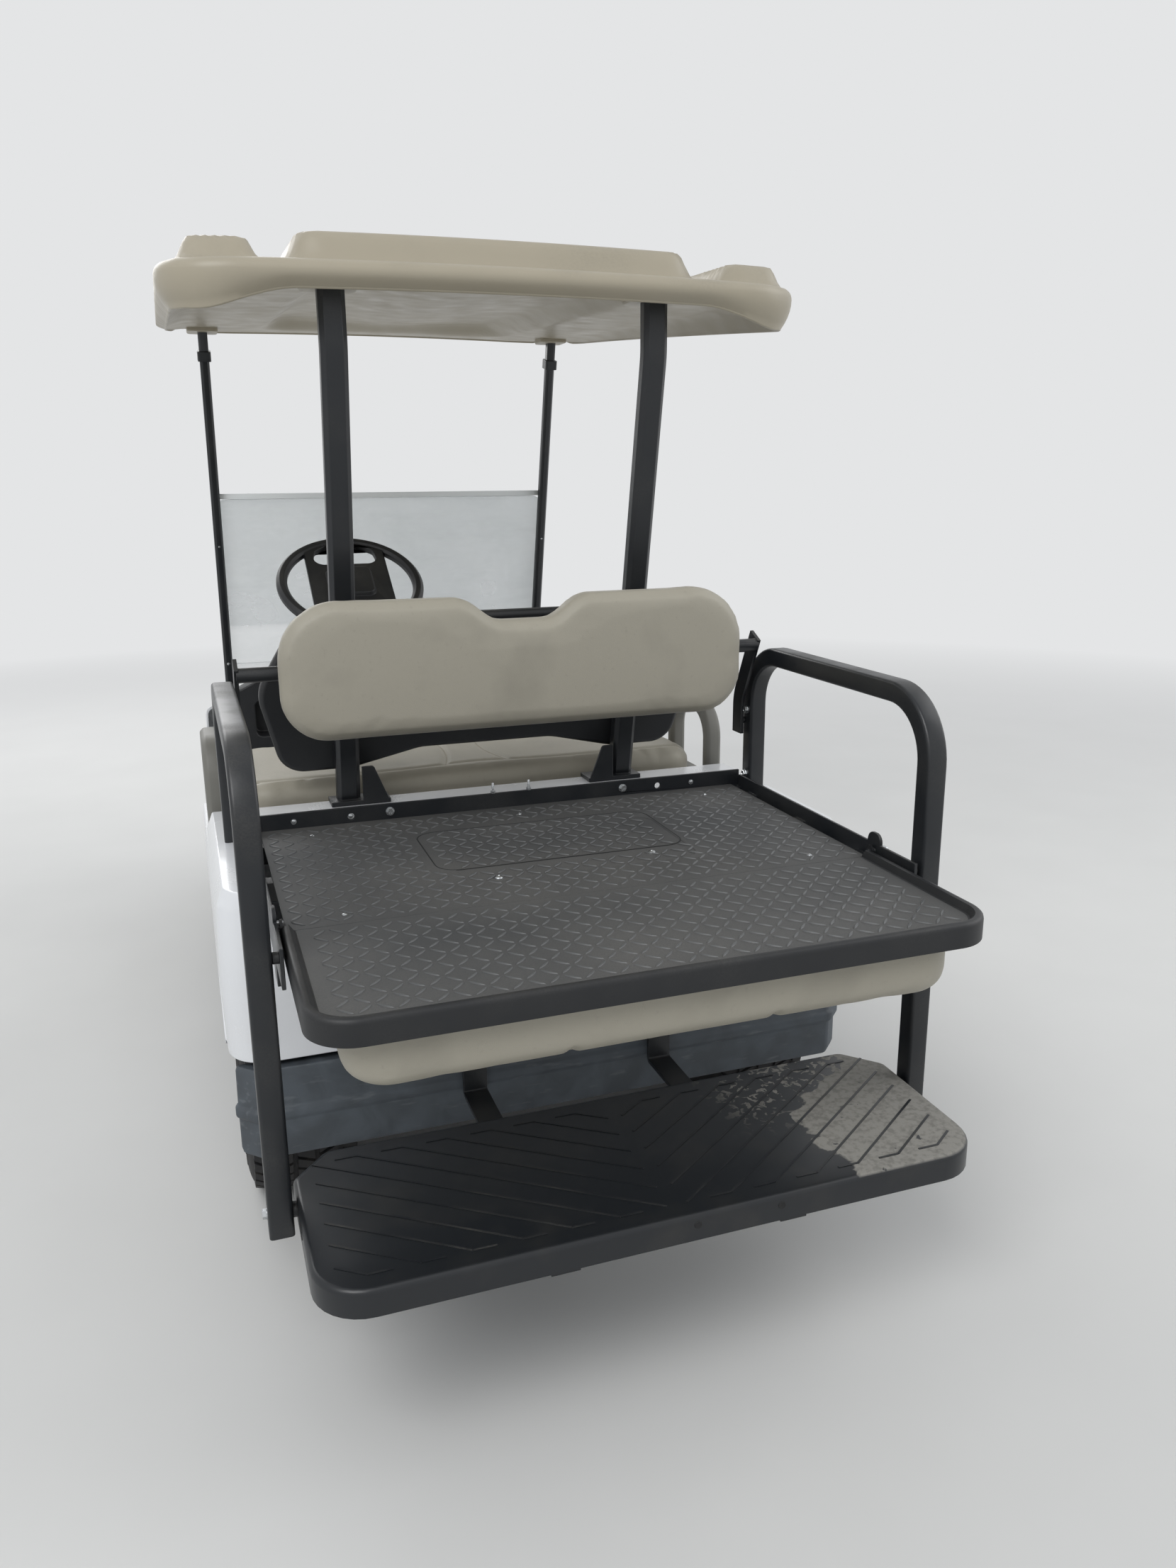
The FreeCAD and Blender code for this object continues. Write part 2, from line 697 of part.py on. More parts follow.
# Ladder frame, power block and floor
def chassis():
    outer = "(rail_x + rail_width / 2)"
    parts = [box(spread(side, "rail_x - rail_width / 2", outer), ("rail_front_y", "rail_rear_y"), ("rail_base_z", RAIL_TOP))
             for _, side in SIDES]
    wide = f"({REAR_SPRING_X} + spring_width / 2)"
    spring_low = "(tyre_radius + rear_tube_radius + 2 * seat_gap + spring_camber + spring_leaf)"
    rows = [
        ("rail_front_y", 40, outer, "rail_base_z"),
        ("floor_front_y + 2", 40, f"{FLOOR_HALF} - outrigger_inset", "rail_base_z + 10"),
        ("seat_base_y - 40", 40, f"{FLOOR_HALF} - outrigger_inset", "rail_base_z + 10"),
        ("rear_axle_y - rear_spring_reach - 20", 40, wide, spring_low),
        ("rear_axle_y + rear_spring_reach - 20", 40, wide, spring_low),
    ]
    for y, depth, half, low in rows:
        parts.append(box((f"-({half})", half), (y, f"{y} + {depth}"), (low, RAIL_TOP)))
    for _, side in SIDES:
        parts.append(box(spread(side, "rail_x - bumper_iron / 2", "rail_x + bumper_iron / 2"),
                         ("front_bumper_y + bumper_wall + seat_gap", "rail_front_y + 1"),
                         ("rail_base_z", "bumper_base_z + front_bumper_height - bumper_wall - 6")))
    keep(fuse(parts), "chassis")


def battery_pack():
    keep(box(("-battery_half", "battery_half"), ("seat_base_y + 30", "seat_base_y + 30 + battery_length"),
             (f"{RAIL_TOP} + seat_gap", f"{RAIL_TOP} + seat_gap + battery_height")), "battery_pack")


def floor_pan():
    """Floor sheet with turned-down sills and the raised toe board."""
    half = FLOOR_HALF
    low = f"({RAIL_TOP} + seat_gap)"
    body = new_body("floor_pan")
    pad(body, "YZ", 0, [
        ("floor_front_y", low), ("seat_base_y - seat_gap", low), ("seat_base_y - seat_gap", FLOOR_TOP),
        ("floor_front_y", FLOOR_TOP), ("toe_top_y", "toe_top_z"),
        ("toe_top_y - floor_sheet", "toe_top_z")], f"2 * {half}", True)
    for _, side in SIDES:
        low_x, high_x = spread(side, f"{half} - floor_sheet", half)
        pad(body, "XY", f"{low} - sill_drop", rectangle((low_x, high_x), ("floor_front_y", "seat_base_y - seat_gap")),
            "sill_drop + floor_sheet")
    keep(body, "floor_pan")


chassis()
battery_pack()
floor_pan()


# Front body
def cowl_section(half, low, wing, hood):
    """Half of a cross section: tucked side, rounded wing and a raised hood in the middle."""
    return mirrored([(f"{half} - 8", low), (half, f"{low} + 120", 60), (f"{half} - 14", f"{wing} - 30", 20),
                     (f"{half} - 60", wing, 30), (f"{half} - hood_inset + hood_slope", wing, 30),
                     (f"{half} - hood_inset", hood, 40)])


def front_cowl():
    """Hollow lofted nose with wings, a raised hood and open wheel arches, reaching back to the dash."""
    low = "cowl_low_z"
    wing = "(cowl_top_z - wing_drop)"
    # place along the cart, half width, lower edge, top of the wings, top of the hood
    stations = [("floor_front_y - seat_gap", "cowl_half", low, wing, "cowl_top_z"),
                ("cowl_rear_y", "cowl_half", low, wing, "cowl_top_z"),
                ("cowl_shoulder_y", "cowl_half", low, f"{wing} - 50", "cowl_top_z - 56"),
                ("cowl_brow_y", "cowl_half - 40", low, f"{wing} - 128", "cowl_top_z - 136"),
                ("nose_y", "cowl_half - 130", f"{low} + 6", f"{wing} - 216", "cowl_top_z - 236")]
    outer = new_body("CowlOuter")
    loft(outer, "XZ", [(f"-({y})", cowl_section(*section)) for y, *section in stations])
    inner = new_body("CowlInner")
    stations[0] = ("floor_front_y + 9", "cowl_half", low, wing, "cowl_top_z")
    stations[4] = ("nose_y + shell_wall", "cowl_half - 124", low, f"{wing} - 210", "cowl_top_z - 230")
    loft(inner, "XZ", [(f"-({y})", cowl_section(f"{half} - shell_wall", f"{low} - 60", f"{top} - shell_wall",
                                                f"{hood} - shell_wall")) for y, half, low, top, hood in stations])
    door = box(("-cowl_half - 9", "cowl_half + 9"), ("cowl_rear_y", "floor_front_y + 9"),
               ("wing_top_z", "cowl_top_z + 9"))
    shell = cut(outer, [inner, door])
    arch = rod("x", "arch_front", ("-body_half_mid - 20", FRONT_AXLE_Y, "tyre_radius"), "2 * body_half_mid + 40")
    lamps = [rod("y", "lamp_radius + seat_gap", (f"{side} * lamp_x", "nose_y - 30", "lamp_z"), 150)
             for _, side in SIDES]
    keep(cut(shell, [arch] + lamps), "front_cowl")


def headlamps():
    """Two round lamps whose fronts narrow to a shallow dome."""
    lamps = []
    for _, side in SIDES:
        dome = doc.addObject("Part::Cone", "Dome")
        dome.Placement = Placement(Vector(), TURNS["y"])
        bind(dome, Radius1="lamp_radius - lamp_dome", Radius2="lamp_radius", Height="lamp_dome")
        place(dome, f"{side} * lamp_x", "nose_y - 4 - lamp_dome", "lamp_z")
        lamps.append(fuse([rod("y", "lamp_radius", (f"{side} * lamp_x", "nose_y - 4", "lamp_z"), 70), dome]))
    group = doc.addObject("Part::Compound", "Lamps")
    group.Links = lamps
    keep(group, "headlamps")


def bumper_outline(half, face, wing, out):
    """Plan of a bumper: a face with bevelled corners and two side wings, out = +1 to the rear."""
    corner = f"{face} - {out} * bumper_bevel"
    return [(f"-({half})", wing), (f"-({half})", corner, 10), (f"-({half}) + bumper_bevel", face, 20),
            (f"{half} - bumper_bevel", face, 20), (half, corner, 10), (half, wing)]


def front_bumper():
    body = new_body("front_bumper")
    wing = "front_bumper_y + 62"
    half = "(cowl_half - front_bumper_inset)"
    pad(body, "XY", "bumper_base_z", bumper_outline(half, "front_bumper_y", wing, -1), "front_bumper_height")
    inside = bumper_outline(f"{half} - bumper_wall", "front_bumper_y + bumper_wall", f"{wing} + 9", -1)
    pocket(body, "XY", "bumper_base_z", inside, "front_bumper_height - bumper_wall")
    keep(body, "front_bumper")


def dash():
    """Upright panel with a raised middle between the struts, two open bins and a flat lower edge."""
    body = new_body("dash")
    front = "-(cowl_rear_y + seat_gap)"
    rise = f"{STRUT_X} - strut_wide"
    pad(body, "XZ", f"{front} - dash_depth", mirrored([
        (DASH_HALF, "toe_top_z + 8", 20), (DASH_HALF, "dash_shoulder_z", 12), (rise, "dash_shoulder_z", 20),
        (f"{rise} - 80", "dash_top_z", 60)]), "dash_depth")
    pocket(body, "YZ", 0, [("cowl_rear_y - 1", "dash_shoulder_z"), ("cowl_rear_y + 6", "dash_shoulder_z"),
                           ("cowl_rear_y + 20", "dash_top_z + 5"), ("cowl_rear_y - 1", "dash_top_z + 5")],
           f"2 * {DASH_HALF}", True)
    bin_top = "dash_shoulder_z - 40"
    for _, side in SIDES:
        across = spread(side, 110, f"{DASH_HALF} - 70")
        pocket(body, "XZ", f"{front} - dash_depth", rectangle(across, (f"{bin_top} - dash_bin_tall", bin_top), 18),
               "dash_bin_deep")
    keep(body, "dash")


front_cowl()
headlamps()
front_bumper()
dash()


# Rear body
def rear_body():
    """Hollow tub: seat pod with its hatch, rounded shelf, lipped wheel arches and a well under the cargo deck."""
    def plan(half, inset):
        """Outline at one level, square in front and rounded at the rear, drawn in by an inset."""
        front, rear, side = f"(seat_base_y + {inset})", f"(body_rear_y - {inset})", f"({half} - {inset})"
        return [(f"-{side}", front, 25), (side, front, 25), (side, rear, "body_corner"), (f"-{side}", rear, "body_corner")]

    wide = ("-body_half_mid - 9", "body_half_mid + 9")
    low_half, top_half = "(body_half_mid - body_tuck)", "(body_half_mid - body_tumble)"
    # height, half width
    levels = [("body_low_z", low_half), ("body_skirt_z", "(body_half_mid - skirt_inset)"),
              ("body_mid_z", "body_half_mid"), ("body_top_z - body_shoulder", "(body_half_mid - shoulder_inset)"),
              ("body_top_z", top_half)]
    outer = new_body("TubOuter")
    loft(outer, "XY", [(z, plan(half, "0")) for z, half in levels])
    step = box(wide, ("seat_base_y - 9", "pod_rear_y"), ("pod_top_z", "body_top_z + 9"))
    outer_step = cut(outer, [step])
    inner = new_body("TubInner")
    levels[0] = ("body_low_z - 20", low_half)
    levels[4] = ("body_top_z - shell_wall", top_half)
    loft(inner, "XY", [(z, plan(half, "shell_wall")) for z, half in levels])
    inner_step = cut(inner, [box(wide, ("seat_base_y - 9", "pod_rear_y + shell_wall"),
                                 ("pod_top_z - shell_wall", "body_top_z + 9"))])
    hatch = box(("-battery_half - 20", "battery_half + 20"), ("seat_base_y + 20", "seat_base_y + 40 + battery_length"),
                ("pod_top_z - 20", "pod_top_z + 20"))
    well = box(("well_rim - body_half_mid", "body_half_mid - well_rim"), ("well_front_y", "body_rear_y + 9"),
               ("well_rear_z", "body_top_z + 9"))
    arch = rod("x", "arch_rear", ("-body_half_mid - 20", "rear_axle_y", "tyre_radius"), "2 * body_half_mid + 40")
    lips = [rod("x", "arch_rear + arch_lip", (spread(side, "body_half_mid - arch_lip_deep", "body_half_mid")[0],
                                              "rear_axle_y", "tyre_radius"), "arch_lip_deep") for _, side in SIDES]
    below = box(wide, ("rear_axle_y - arch_rear - 50", "rear_axle_y + arch_rear + 50"),
                ("-arch_rear", "body_low_z"))
    bumper_room = box(wide, ("rear_axle_y", "body_rear_y + 9"),
                      ("body_low_z - 30", "bumper_base_z + bumper_height + strap_thick + 2"))
    rail_slots = [box(spread(side, "rail_x - rail_width / 2 - 3", "rail_x + rail_width / 2 + 3"),
                      ("seat_base_y - 9", "seat_base_y + shell_wall + 1"), ("body_low_z - 9", f"{RAIL_TOP} + 3"))
                  for _, side in SIDES]
    tub = cut(fuse([outer_step] + lips), [inner_step])
    shell = cut(tub, [hatch, well, arch, below, bumper_room] + rail_slots)
    hinges = []
    for _, side in SIDES:
        hinges.append(box(spread(side, "lid_pin_x - 3", "lid_pin_x + 3"), ("lid_pin_y - 6", "seat_base_y + 1"),
                          ("lid_pin_z - 40", "lid_pin_z")))
        hinges.append(rod("x", 6, (f"{side} * lid_pin_x - 3", "lid_pin_y", "lid_pin_z"), 6))
        hinges.append(rod("x", "lid_pin_radius", (f"{side} * lid_pin_x - 18", "lid_pin_y", "lid_pin_z"), 36))
    keep(fuse([shell] + hinges), "rear_body")


def rear_bumper():
    """Moulded bumper wrapped round the rear corners: rolled edges and a ridge along its middle."""
    body = new_body("rear_bumper")
    half = "(body_half_mid - rear_bumper_inset)"
    wing = "rear_axle_y + arch_rear + 10"
    middle = "bumper_base_z + bumper_height / 2"
    top = "bumper_base_z + bumper_height"
    # height, how far the outer face is drawn in
    levels = [("bumper_base_z", "(ridge_depth + 3)"), ("bumper_base_z + bumper_round / 2", "ridge_depth"),
              (f"{middle} - bumper_ridge", "ridge_depth"), (f"{middle} - bumper_ridge / 2", "0"),
              (f"{middle} + bumper_ridge / 2", "0"), (f"{middle} + bumper_ridge", "ridge_depth"),
              (f"{top} - bumper_round / 3", "(ridge_depth + 1)"), (top, "(ridge_depth + 4)")]
    loft(body, "XY", [(z, bumper_outline(f"{half} - {inset}", f"rear_bumper_y - {inset}", wing, 1))
                      for z, inset in levels])
    wall = "(ridge_depth + 1 + bumper_wall)"
    inside = bumper_outline(f"{half} - {wall}", f"rear_bumper_y - {wall}", f"{wing} - 9", 1)
    pocket(body, "XY", "bumper_base_z", inside, "bumper_height - bumper_round")
    keep(body, "rear_bumper")


rear_body()
rear_bumper()


# Seats
def seat_board():
    """Board under the lifting cushion, slotted and bored for its two hinge pins."""
    board = box((f"12 - {CUSHION_HALF}", f"{CUSHION_HALF} - 12"), ("cushion_front_y + 12", "cushion_rear_y - 12"),
                ("cushion_base_z - seat_gap - seat_board", "cushion_base_z - seat_gap"))
    tools = []
    for _, side in SIDES:
        tools.append(box(spread(side, "lid_pin_x - 8", "lid_pin_x + 8"), ("lid_pin_y - 34", "lid_pin_y + 34"),
                         ("cushion_base_z - 40", "cushion_base_z + 10")))
        tools.append(rod("x", "lid_pin_radius + bearing_play", (f"{side} * lid_pin_x - 18.3", "lid_pin_y", "lid_pin_z"), 36.6))
    keep(cut(board, tools), "seat_board")


def seat_cushion():
    body = new_body("seat_cushion")
    pad(body, "XY", "cushion_base_z", rectangle((f"-{CUSHION_HALF}", CUSHION_HALF), ("cushion_front_y", "cushion_rear_y"), 70),
        "cushion_thick")
    ease_edges("Fillet", body, "cushion_thick / 3", at("z", "cushion_base_z + cushion_thick"))
    keep(body, "seat_cushion")


def lean(thing, angle, x, y, z):
    """Tip a piece's top to the rear about its own origin and put that origin in place."""
    thing.Placement = Placement(Vector(), Rotation(Vector(-1, 0, 0), number(angle)))
    bind(thing, Placement__Rotation__Angle=angle)
    place(thing, x, y, z)


BACK_LEAN = f"atan({POST_SLOPE})"
BACK_Y = (f"(post_foot_y + (back_low_z - {POST_FOOT_Z}) * {POST_SLOPE}"
          f" - (post_deep / 2 + back_shell_thick + plate_thick + 2 * seat_gap) / cos({BACK_LEAN}))")


def seat_back():
    """Moulded shell with an arched lower edge and its pad, parallel to the roof posts."""
    shell = new_body("back_shell")
    tall = "(back_top_z - back_low_z)"
    pad(shell, "XZ", "-back_shell_thick", mirrored([
        (150, "back_arch_z - back_low_z", 120), (300, 0, 120), ("back_half - 46", 0, 60),
        ("back_half", f"{tall} * 0.55", 90), ("back_half - back_shoulder", tall, 70)]), "back_shell_thick")
    ease_edges("Chamfer", shell, "shell_bevel", at("y", "back_shell_thick"))
    padding = new_body("back_pad")
    pad(padding, "XZ", "seat_gap", mirrored([
        ("back_half - 72", 60, 60), ("back_half - 30", f"{tall} * 0.55", 90),
        ("back_half - back_shoulder - 20", f"{tall} - 18", 60)]), "back_pad_thick")
    ease_edges("Chamfer", padding, "pad_bevel", at("y", "-(seat_gap + back_pad_thick)"))
    for thing, label in ((shell, "back_shell"), (padding, "back_pad")):
        lean(thing, BACK_LEAN, 0, BACK_Y, "back_low_z")
        keep(thing, label)


def back_brackets():
    """Two flat bars between the back shell and the roof posts."""
    bars = []
    for _, side in SIDES:
        bar = new_body("Bar")
        low, high = spread(side, "post_x - 20", "post_x + 20")
        pad(bar, "XZ", "-(back_shell_thick + seat_gap + plate_thick)",
            rectangle((low, high), (-54, "back_top_z - back_low_z - 20")), "plate_thick")
        lean(bar, BACK_LEAN, 0, BACK_Y, "back_low_z")
        bars.append(bar)
    group = doc.addObject("Part::Compound", "Bars")
    group.Links = bars
    keep(group, "back_brackets")


def hip_restraint(side_name, side):
    """Padded loop with eased edges at the end of the seat, open in the middle."""
    body = new_body(f"hip_restraint_{side_name}")
    low, bar = "pod_top_z + seat_gap", "restraint_bar"
    inner_x, outer_x = "(body_half_mid - restraint_inset)", "(body_half_mid - restraint_inset + restraint_wide)"
    centre = f"{side} * ({inner_x} + restraint_wide / 2)"
    pad(body, "YZ", centre, [
        ("restraint_front_y", low, 40), ("restraint_rear_y", low, 40),
        ("restraint_rear_y", "restraint_top_z", 90), ("restraint_front_y", "restraint_top_z", 90)],
        "restraint_wide", True)
    pocket(body, "YZ", centre, [
        (f"restraint_front_y + {bar}", f"{low} + {bar}", 20), (f"restraint_rear_y - {bar}", f"{low} + {bar}", 20),
        (f"restraint_rear_y - {bar}", f"restraint_top_z - {bar}", 58),
        (f"restraint_front_y + {bar}", f"restraint_top_z - {bar}", 58)], "restraint_wide + 2", True)
    ease_edges("Chamfer", body, "restraint_bevel", at("x", f"{side} * {inner_x}", f"{side} * {outer_x}"))
    keep(body, f"hip_restraint_{side_name}")


seat_board()
seat_cushion()
seat_back()
back_brackets()
for side_name, side in SIDES:
    hip_restraint(side_name, side)


# Steering wheel, column and pedals
def steering_wheel():
    """Moulded wheel: eight-sided ring, a broad centre plate with a window above, a raised horn pad and a shaft."""
    ring = new_body("Ring")
    wide, narrow = "wheel_grip", "wheel_grip * 0.42"
    revolve(ring, [(f"-{wide}", f"wheel_ring - {narrow}"), (f"-{wide}", f"wheel_ring + {narrow}"),
                   (f"-{narrow}", f"wheel_ring + {wide}"), (narrow, f"wheel_ring + {wide}"),
                   (wide, f"wheel_ring + {narrow}"), (wide, f"wheel_ring - {narrow}"),
                   (narrow, f"wheel_ring - {wide}"), (f"-{narrow}", f"wheel_ring - {wide}")])
    ring.Placement = Placement(Vector(), Rotation(Vector(0, 1, 0), -90))
    side_y = "sqrt(wheel_ring^2 - wheel_plate_half^2)"
    end_x = "wheel_plate_half / 2"
    end_y = f"sqrt(wheel_ring^2 - ({end_x})^2)"
    inside = "(wheel_ring - wheel_grip)"
    plate = new_body("CentrePlate")
    pad(plate, "XY", "-wheel_plate / 2", mirrored([
        (end_x, f"-{end_y}"), ("wheel_plate_half", f"-{side_y}"), ("wheel_plate_half", side_y), (end_x, end_y)]),
        "wheel_plate")
    window_top = f"sqrt({inside}^2 - wheel_window_half^2)"
    pocket(plate, "XY", "-wheel_plate", mirrored([
        (40, f"4 - {inside}"), ("wheel_window_half - 8", f"4 - {window_top}", 16),
        ("wheel_window_half", "-wheel_window_low", 24)]), "2 * wheel_plate")
    pad(plate, "XY", "wheel_plate / 2 - 1", rectangle(("-horn_half", "horn_half"), ("-wheel_window_low + 20", "horn_half"), 20),
        "horn_rise + 1", slope="field_slope")
    wheel = fuse([ring, plate, rod("z", 46, (0, 0, -20), 14), rod("z", "shaft_radius", (0, 0, -170), 160)])
    lean(wheel, "wheel_tilt", "wheel_x", "wheel_y", "wheel_z")
    keep(wheel, "steering_wheel")


def steering_column():
    """Tube from the floor up to the wheel, with a collar at its foot."""
    reach = f"((wheel_z - {FLOOR_TOP}) / cos(wheel_tilt) - 26)"
    tube = rod("z", "column_radius", (0, 0, f"-{reach}"), f"{reach} - 21")
    bore = rod("z", "shaft_radius + bearing_play", (0, 0, -172), 200)
    column = cut(tube, [bore])
    lean(column, "wheel_tilt", "wheel_x", "wheel_y", "wheel_z")
    collar_y = f"wheel_y - (wheel_z - {FLOOR_TOP} - 24) * tan(wheel_tilt)"
    collar = rod("z", "column_radius + 24", ("wheel_x", collar_y, f"{FLOOR_TOP} + seat_gap"), "column_collar")
    keep(fuse([column, collar]), "steering_column")


def pedals():
    """Accelerator and brake plates on stems off the toe board."""
    run, rise = "(floor_front_y - toe_top_y)", f"(toe_top_z - {FLOOR_TOP})"
    slant = f"sqrt({run}^2 + {rise}^2)"

    def on_board(up, off):
        """A point up along the toe board and off its surface."""
        return (f"floor_front_y + (({off}) * {rise} - ({up}) * {run}) / {slant}",
                f"{FLOOR_TOP} + (({up}) * {rise} + ({off}) * {run}) / {slant}")

    plates = []
    for x, wide in (("accelerator_x", 60), ("brake_x", 84)):
        body = new_body("Pedal")
        for up, high, off, top, across in ((50, "50 + pedal_length", "pedal_lift", "pedal_lift + 8", wide),
                                           (90, 106, "seat_gap", "pedal_lift + 1", 16)):
            corners = [on_board(up, off), on_board(high, off), on_board(high, top), on_board(up, top)]
            pad(body, "YZ", x, corners, across, True)
        plates.append(body)
    group = doc.addObject("Part::Compound", "Pedals")
    group.Links = plates
    keep(group, "pedals")


steering_wheel()
steering_column()
pedals()


# Roof, posts and windscreen
def roof():
    """Moulded hollow roof: rolled rim with lips that deepen to the rear corners, a raised middle field and two
    side pads with sloped flanks, sockets for posts and struts."""
    body = new_body("RoofMoulding")
    pad(body, "XY", "-roof_skirt", rectangle(("-roof_half", "roof_half"), ("-roof_length", 0), "roof_corner"),
        "roof_skirt")
    ease_edges("Fillet", body, "roof_roll", at("z", 0))
    sections = []
    for level, inset in (("-roof_skirt", "roof_wall"), ("-roof_roll", "roof_wall"), ("-roof_wall", "roof_roll")):
        inside = rectangle((f"-roof_half + {inset}", f"roof_half - {inset}"), (f"-roof_length + {inset}", f"-{inset}"),
                           f"roof_corner - {inset}")
        sections.append((level, inside))
    loft(body, "XY", sections, subtract=True)
    # edges across, height, distance from the roof's ends
    fields = [("-field_half", "field_half", "field_height", "field_margin"),
              ("side_pad_inner", "side_pad_outer", "pad_height", "side_pad_margin"),
              ("-side_pad_outer", "-side_pad_inner", "pad_height", "side_pad_margin")]
    for low, high, rise, margin in fields:
        pad(body, "XY", -1, rectangle((low, high), (f"-roof_length + {margin}", f"-{margin}"), 36), f"{rise} + 1",
            slope="field_slope")
    for low, high, rise, margin in fields:
        sections = []
        for level, inset in (("-roof_wall - 1", "roof_wall"),
                             (f"{rise} - roof_wall", f"(roof_wall + {rise} * tan(field_slope))")):
            hollow = rectangle((f"({low}) + {inset}", f"({high}) - {inset}"),
                               (f"-roof_length + {margin} + {inset}", f"-{margin} - {inset}"), f"36 - {inset}")
            sections.append((level, hollow))
        loft(body, "XY", sections, subtract=True)
    pocket(body, "YZ", 0, [(-3, "-roof_skirt - 5"), ("-roof_length - 5", "-roof_skirt - 5"),
                           ("-roof_length - 5", "-roof_front_skirt")], "2 * roof_half + 20", True)
    pocket(body, "XZ", -9, mirrored([
        ("roof_half - lip_width", "-roof_skirt - 9"),
        ("roof_half - lip_width - lip_run", "-roof_front_skirt", "lip_bend")]), "roof_length + 20")
    lean(body, "roof_rise", 0, "roof_rear_y", "roof_edge_z")
    strut_skin_z = "(roof_edge_z + (roof_rear_y - strut_top_y) * tan(roof_rise))"
    sockets = []
    # place, half width of the flange and of the column above it, lowest level, skin level, height of the column
    for x, y, flange, column, low, skin, rise in (
            ("post_x", "post_top_y", 42, 30, "post_top_z", "roof_edge_z", "field_height"),
            (STRUT_X, "strut_top_y", 30, 14, "strut_top_z", strut_skin_z, "pad_height - 2")):
        for _, side in SIDES:
            for half, top in ((flange, f"{skin} - 2"), (column, f"{skin} + {rise}")):
                sockets.append(box((f"{side} * {x} - {half}", f"{side} * {x} + {half}"), (f"{y} - {half}", f"{y} + {half}"),
                                   (f"{low} + seat_gap", top)))
    keep(fuse([body] + sockets), "roof")


def roof_posts():
    """Two bent tubes, drawn from their level tops down to a plate on the body's shelf with a gusset inside it."""
    posts = []
    shelf = "(body_top_z + seat_gap)"
    for _, side in SIDES:
        body = new_body("Post")
        pipe(body, f"{side} * post_x", [("post_top_y", "post_top_z"), ("post_top_y", "post_top_z - post_head", 150),
                                        ("post_foot_y", POST_FOOT_Z)], "post_wide", "post_deep", 9)
        plate = box(spread(side, "gusset_inner", "post_x + post_wide / 2 + 15"), ("cushion_rear_y + 5", "post_foot_y + 35"),
                    (shelf, f"{shelf} + post_plate"))
        gusset = new_body("Gusset")
        outer = "(post_x - post_wide / 2 - gusset_play)"
        pad(gusset, "XZ", "-(post_foot_y + 35)", [
            (f"{side} * gusset_inner", shelf), (f"{side} * {outer}", shelf), (f"{side} * {outer}", f"{shelf} + gusset_tall"),
            (f"{side} * ({outer} - gusset_head)", f"{shelf} + gusset_tall", 8)], "plate_thick")
        posts.append(fuse([body, plate, gusset]))
    group = doc.addObject("Part::Compound", "Posts")
    group.Links = posts
    keep(group, "roof_posts")


SCREEN_LEAN = f"atan({STRUT_SLOPE})"


def on_struts(thing, height, ahead):
    """Lean a piece with the struts, its origin ahead of their front face at one height."""
    y = f"strut_foot_y + ({height} - {STRUT_FOOT_Z}) * {STRUT_SLOPE} - strut_deep / 2 - ({ahead}) * cos({SCREEN_LEAN})"
    lean(thing, SCREEN_LEAN, 0, y, f"{height} + ({ahead}) * sin({SCREEN_LEAN})")


def screen_struts():
    """Two straight tubes, each with a clamp collar below the roof."""
    struts = []
    for _, side in SIDES:
        body = new_body("Strut")
        pipe(body, f"{side} * {STRUT_X}", [("strut_foot_y", STRUT_FOOT_Z), ("strut_top_y", "strut_top_z")],
             "strut_wide", "strut_deep", 6)
        clamp = new_body("Clamp")
        reach = "(strut_wide / 2 + clamp_wall)"
        pad(clamp, "XY", 0, rectangle(spread(side, f"{STRUT_X} - {reach}", f"{STRUT_X} + {reach}"),
                                      ("-clamp_wall", "strut_deep + clamp_wall"), 6), "clamp_tall")
        on_struts(clamp, "clamp_z", 0)
        struts.append(fuse([body, clamp]))
    group = doc.addObject("Part::Compound", "Struts")
    group.Links = struts
    keep(group, "screen_struts")


def screen(label, base, tall, ahead):
    """One clear panel parallel to the struts, standing ahead of them by a named distance."""
    panel = new_body(label)
    pad(panel, "XZ", 0, rectangle((f"-{SCREEN_HALF}", SCREEN_HALF), (0, tall), 45), "screen_thick")
    on_struts(panel, base, ahead)
    keep(panel, label)


def screen_hinge():
    """Soft strip over the top edges of the two panels, with its lips just inside their corners."""
    strip = new_body("screen_hinge")
    deep = "(2 * screen_thick + screen_fold_gap)"
    pad(strip, "YZ", 0, [(f"-{deep}", "seat_gap"), (0, "seat_gap"), (0, "seat_gap + 11", 7), (f"-{deep}", "seat_gap + 11", 7)],
        f"2 * {SCREEN_HALF} - 100", True)
    on_struts(strip, "screen_fold_z", "seat_gap")
    keep(strip, "screen_hinge")


roof()
roof_posts()
screen_struts()
screen_base = f"({STRUT_FOOT_Z} + screen_lift)"
screen("screen_lower", screen_base, f"(screen_fold_z - {screen_base}) / cos({SCREEN_LEAN})", "seat_gap")
screen("screen_upper", "(screen_fold_z - screen_flap)", f"screen_flap / cos({SCREEN_LEAN})",
       "seat_gap + screen_thick + screen_fold_gap")
screen_hinge()


# Rear seat and cargo deck kit
def side_frame(side_name, side):
    """Square tube from the body shelf over the armrest bend and down to the step."""
    body = new_body(f"Hoop{side_name}")
    route = [("hoop_front_y", "body_top_z + seat_gap"), ("hoop_front_y", "hoop_top_z", "hoop_bend"),
             ("hoop_rear_y", "hoop_top_z", "hoop_bend"), ("hoop_rear_y", "upright_foot_z")]
    pipe(body, f"{side} * {HOOP_X}", route, "tube", "tube", "tube_edge")
    low, high = spread(side, f"{STEP_HALF} + seat_gap", f"{HOOP_INNER} + 2")
    spacer = rod("x", 12, (low, "hoop_rear_y", "step_top_z - step_height / 2"), f"({high}) - ({low})")
    keep(fuse([body, spacer]), f"side_frame_{side_name}")


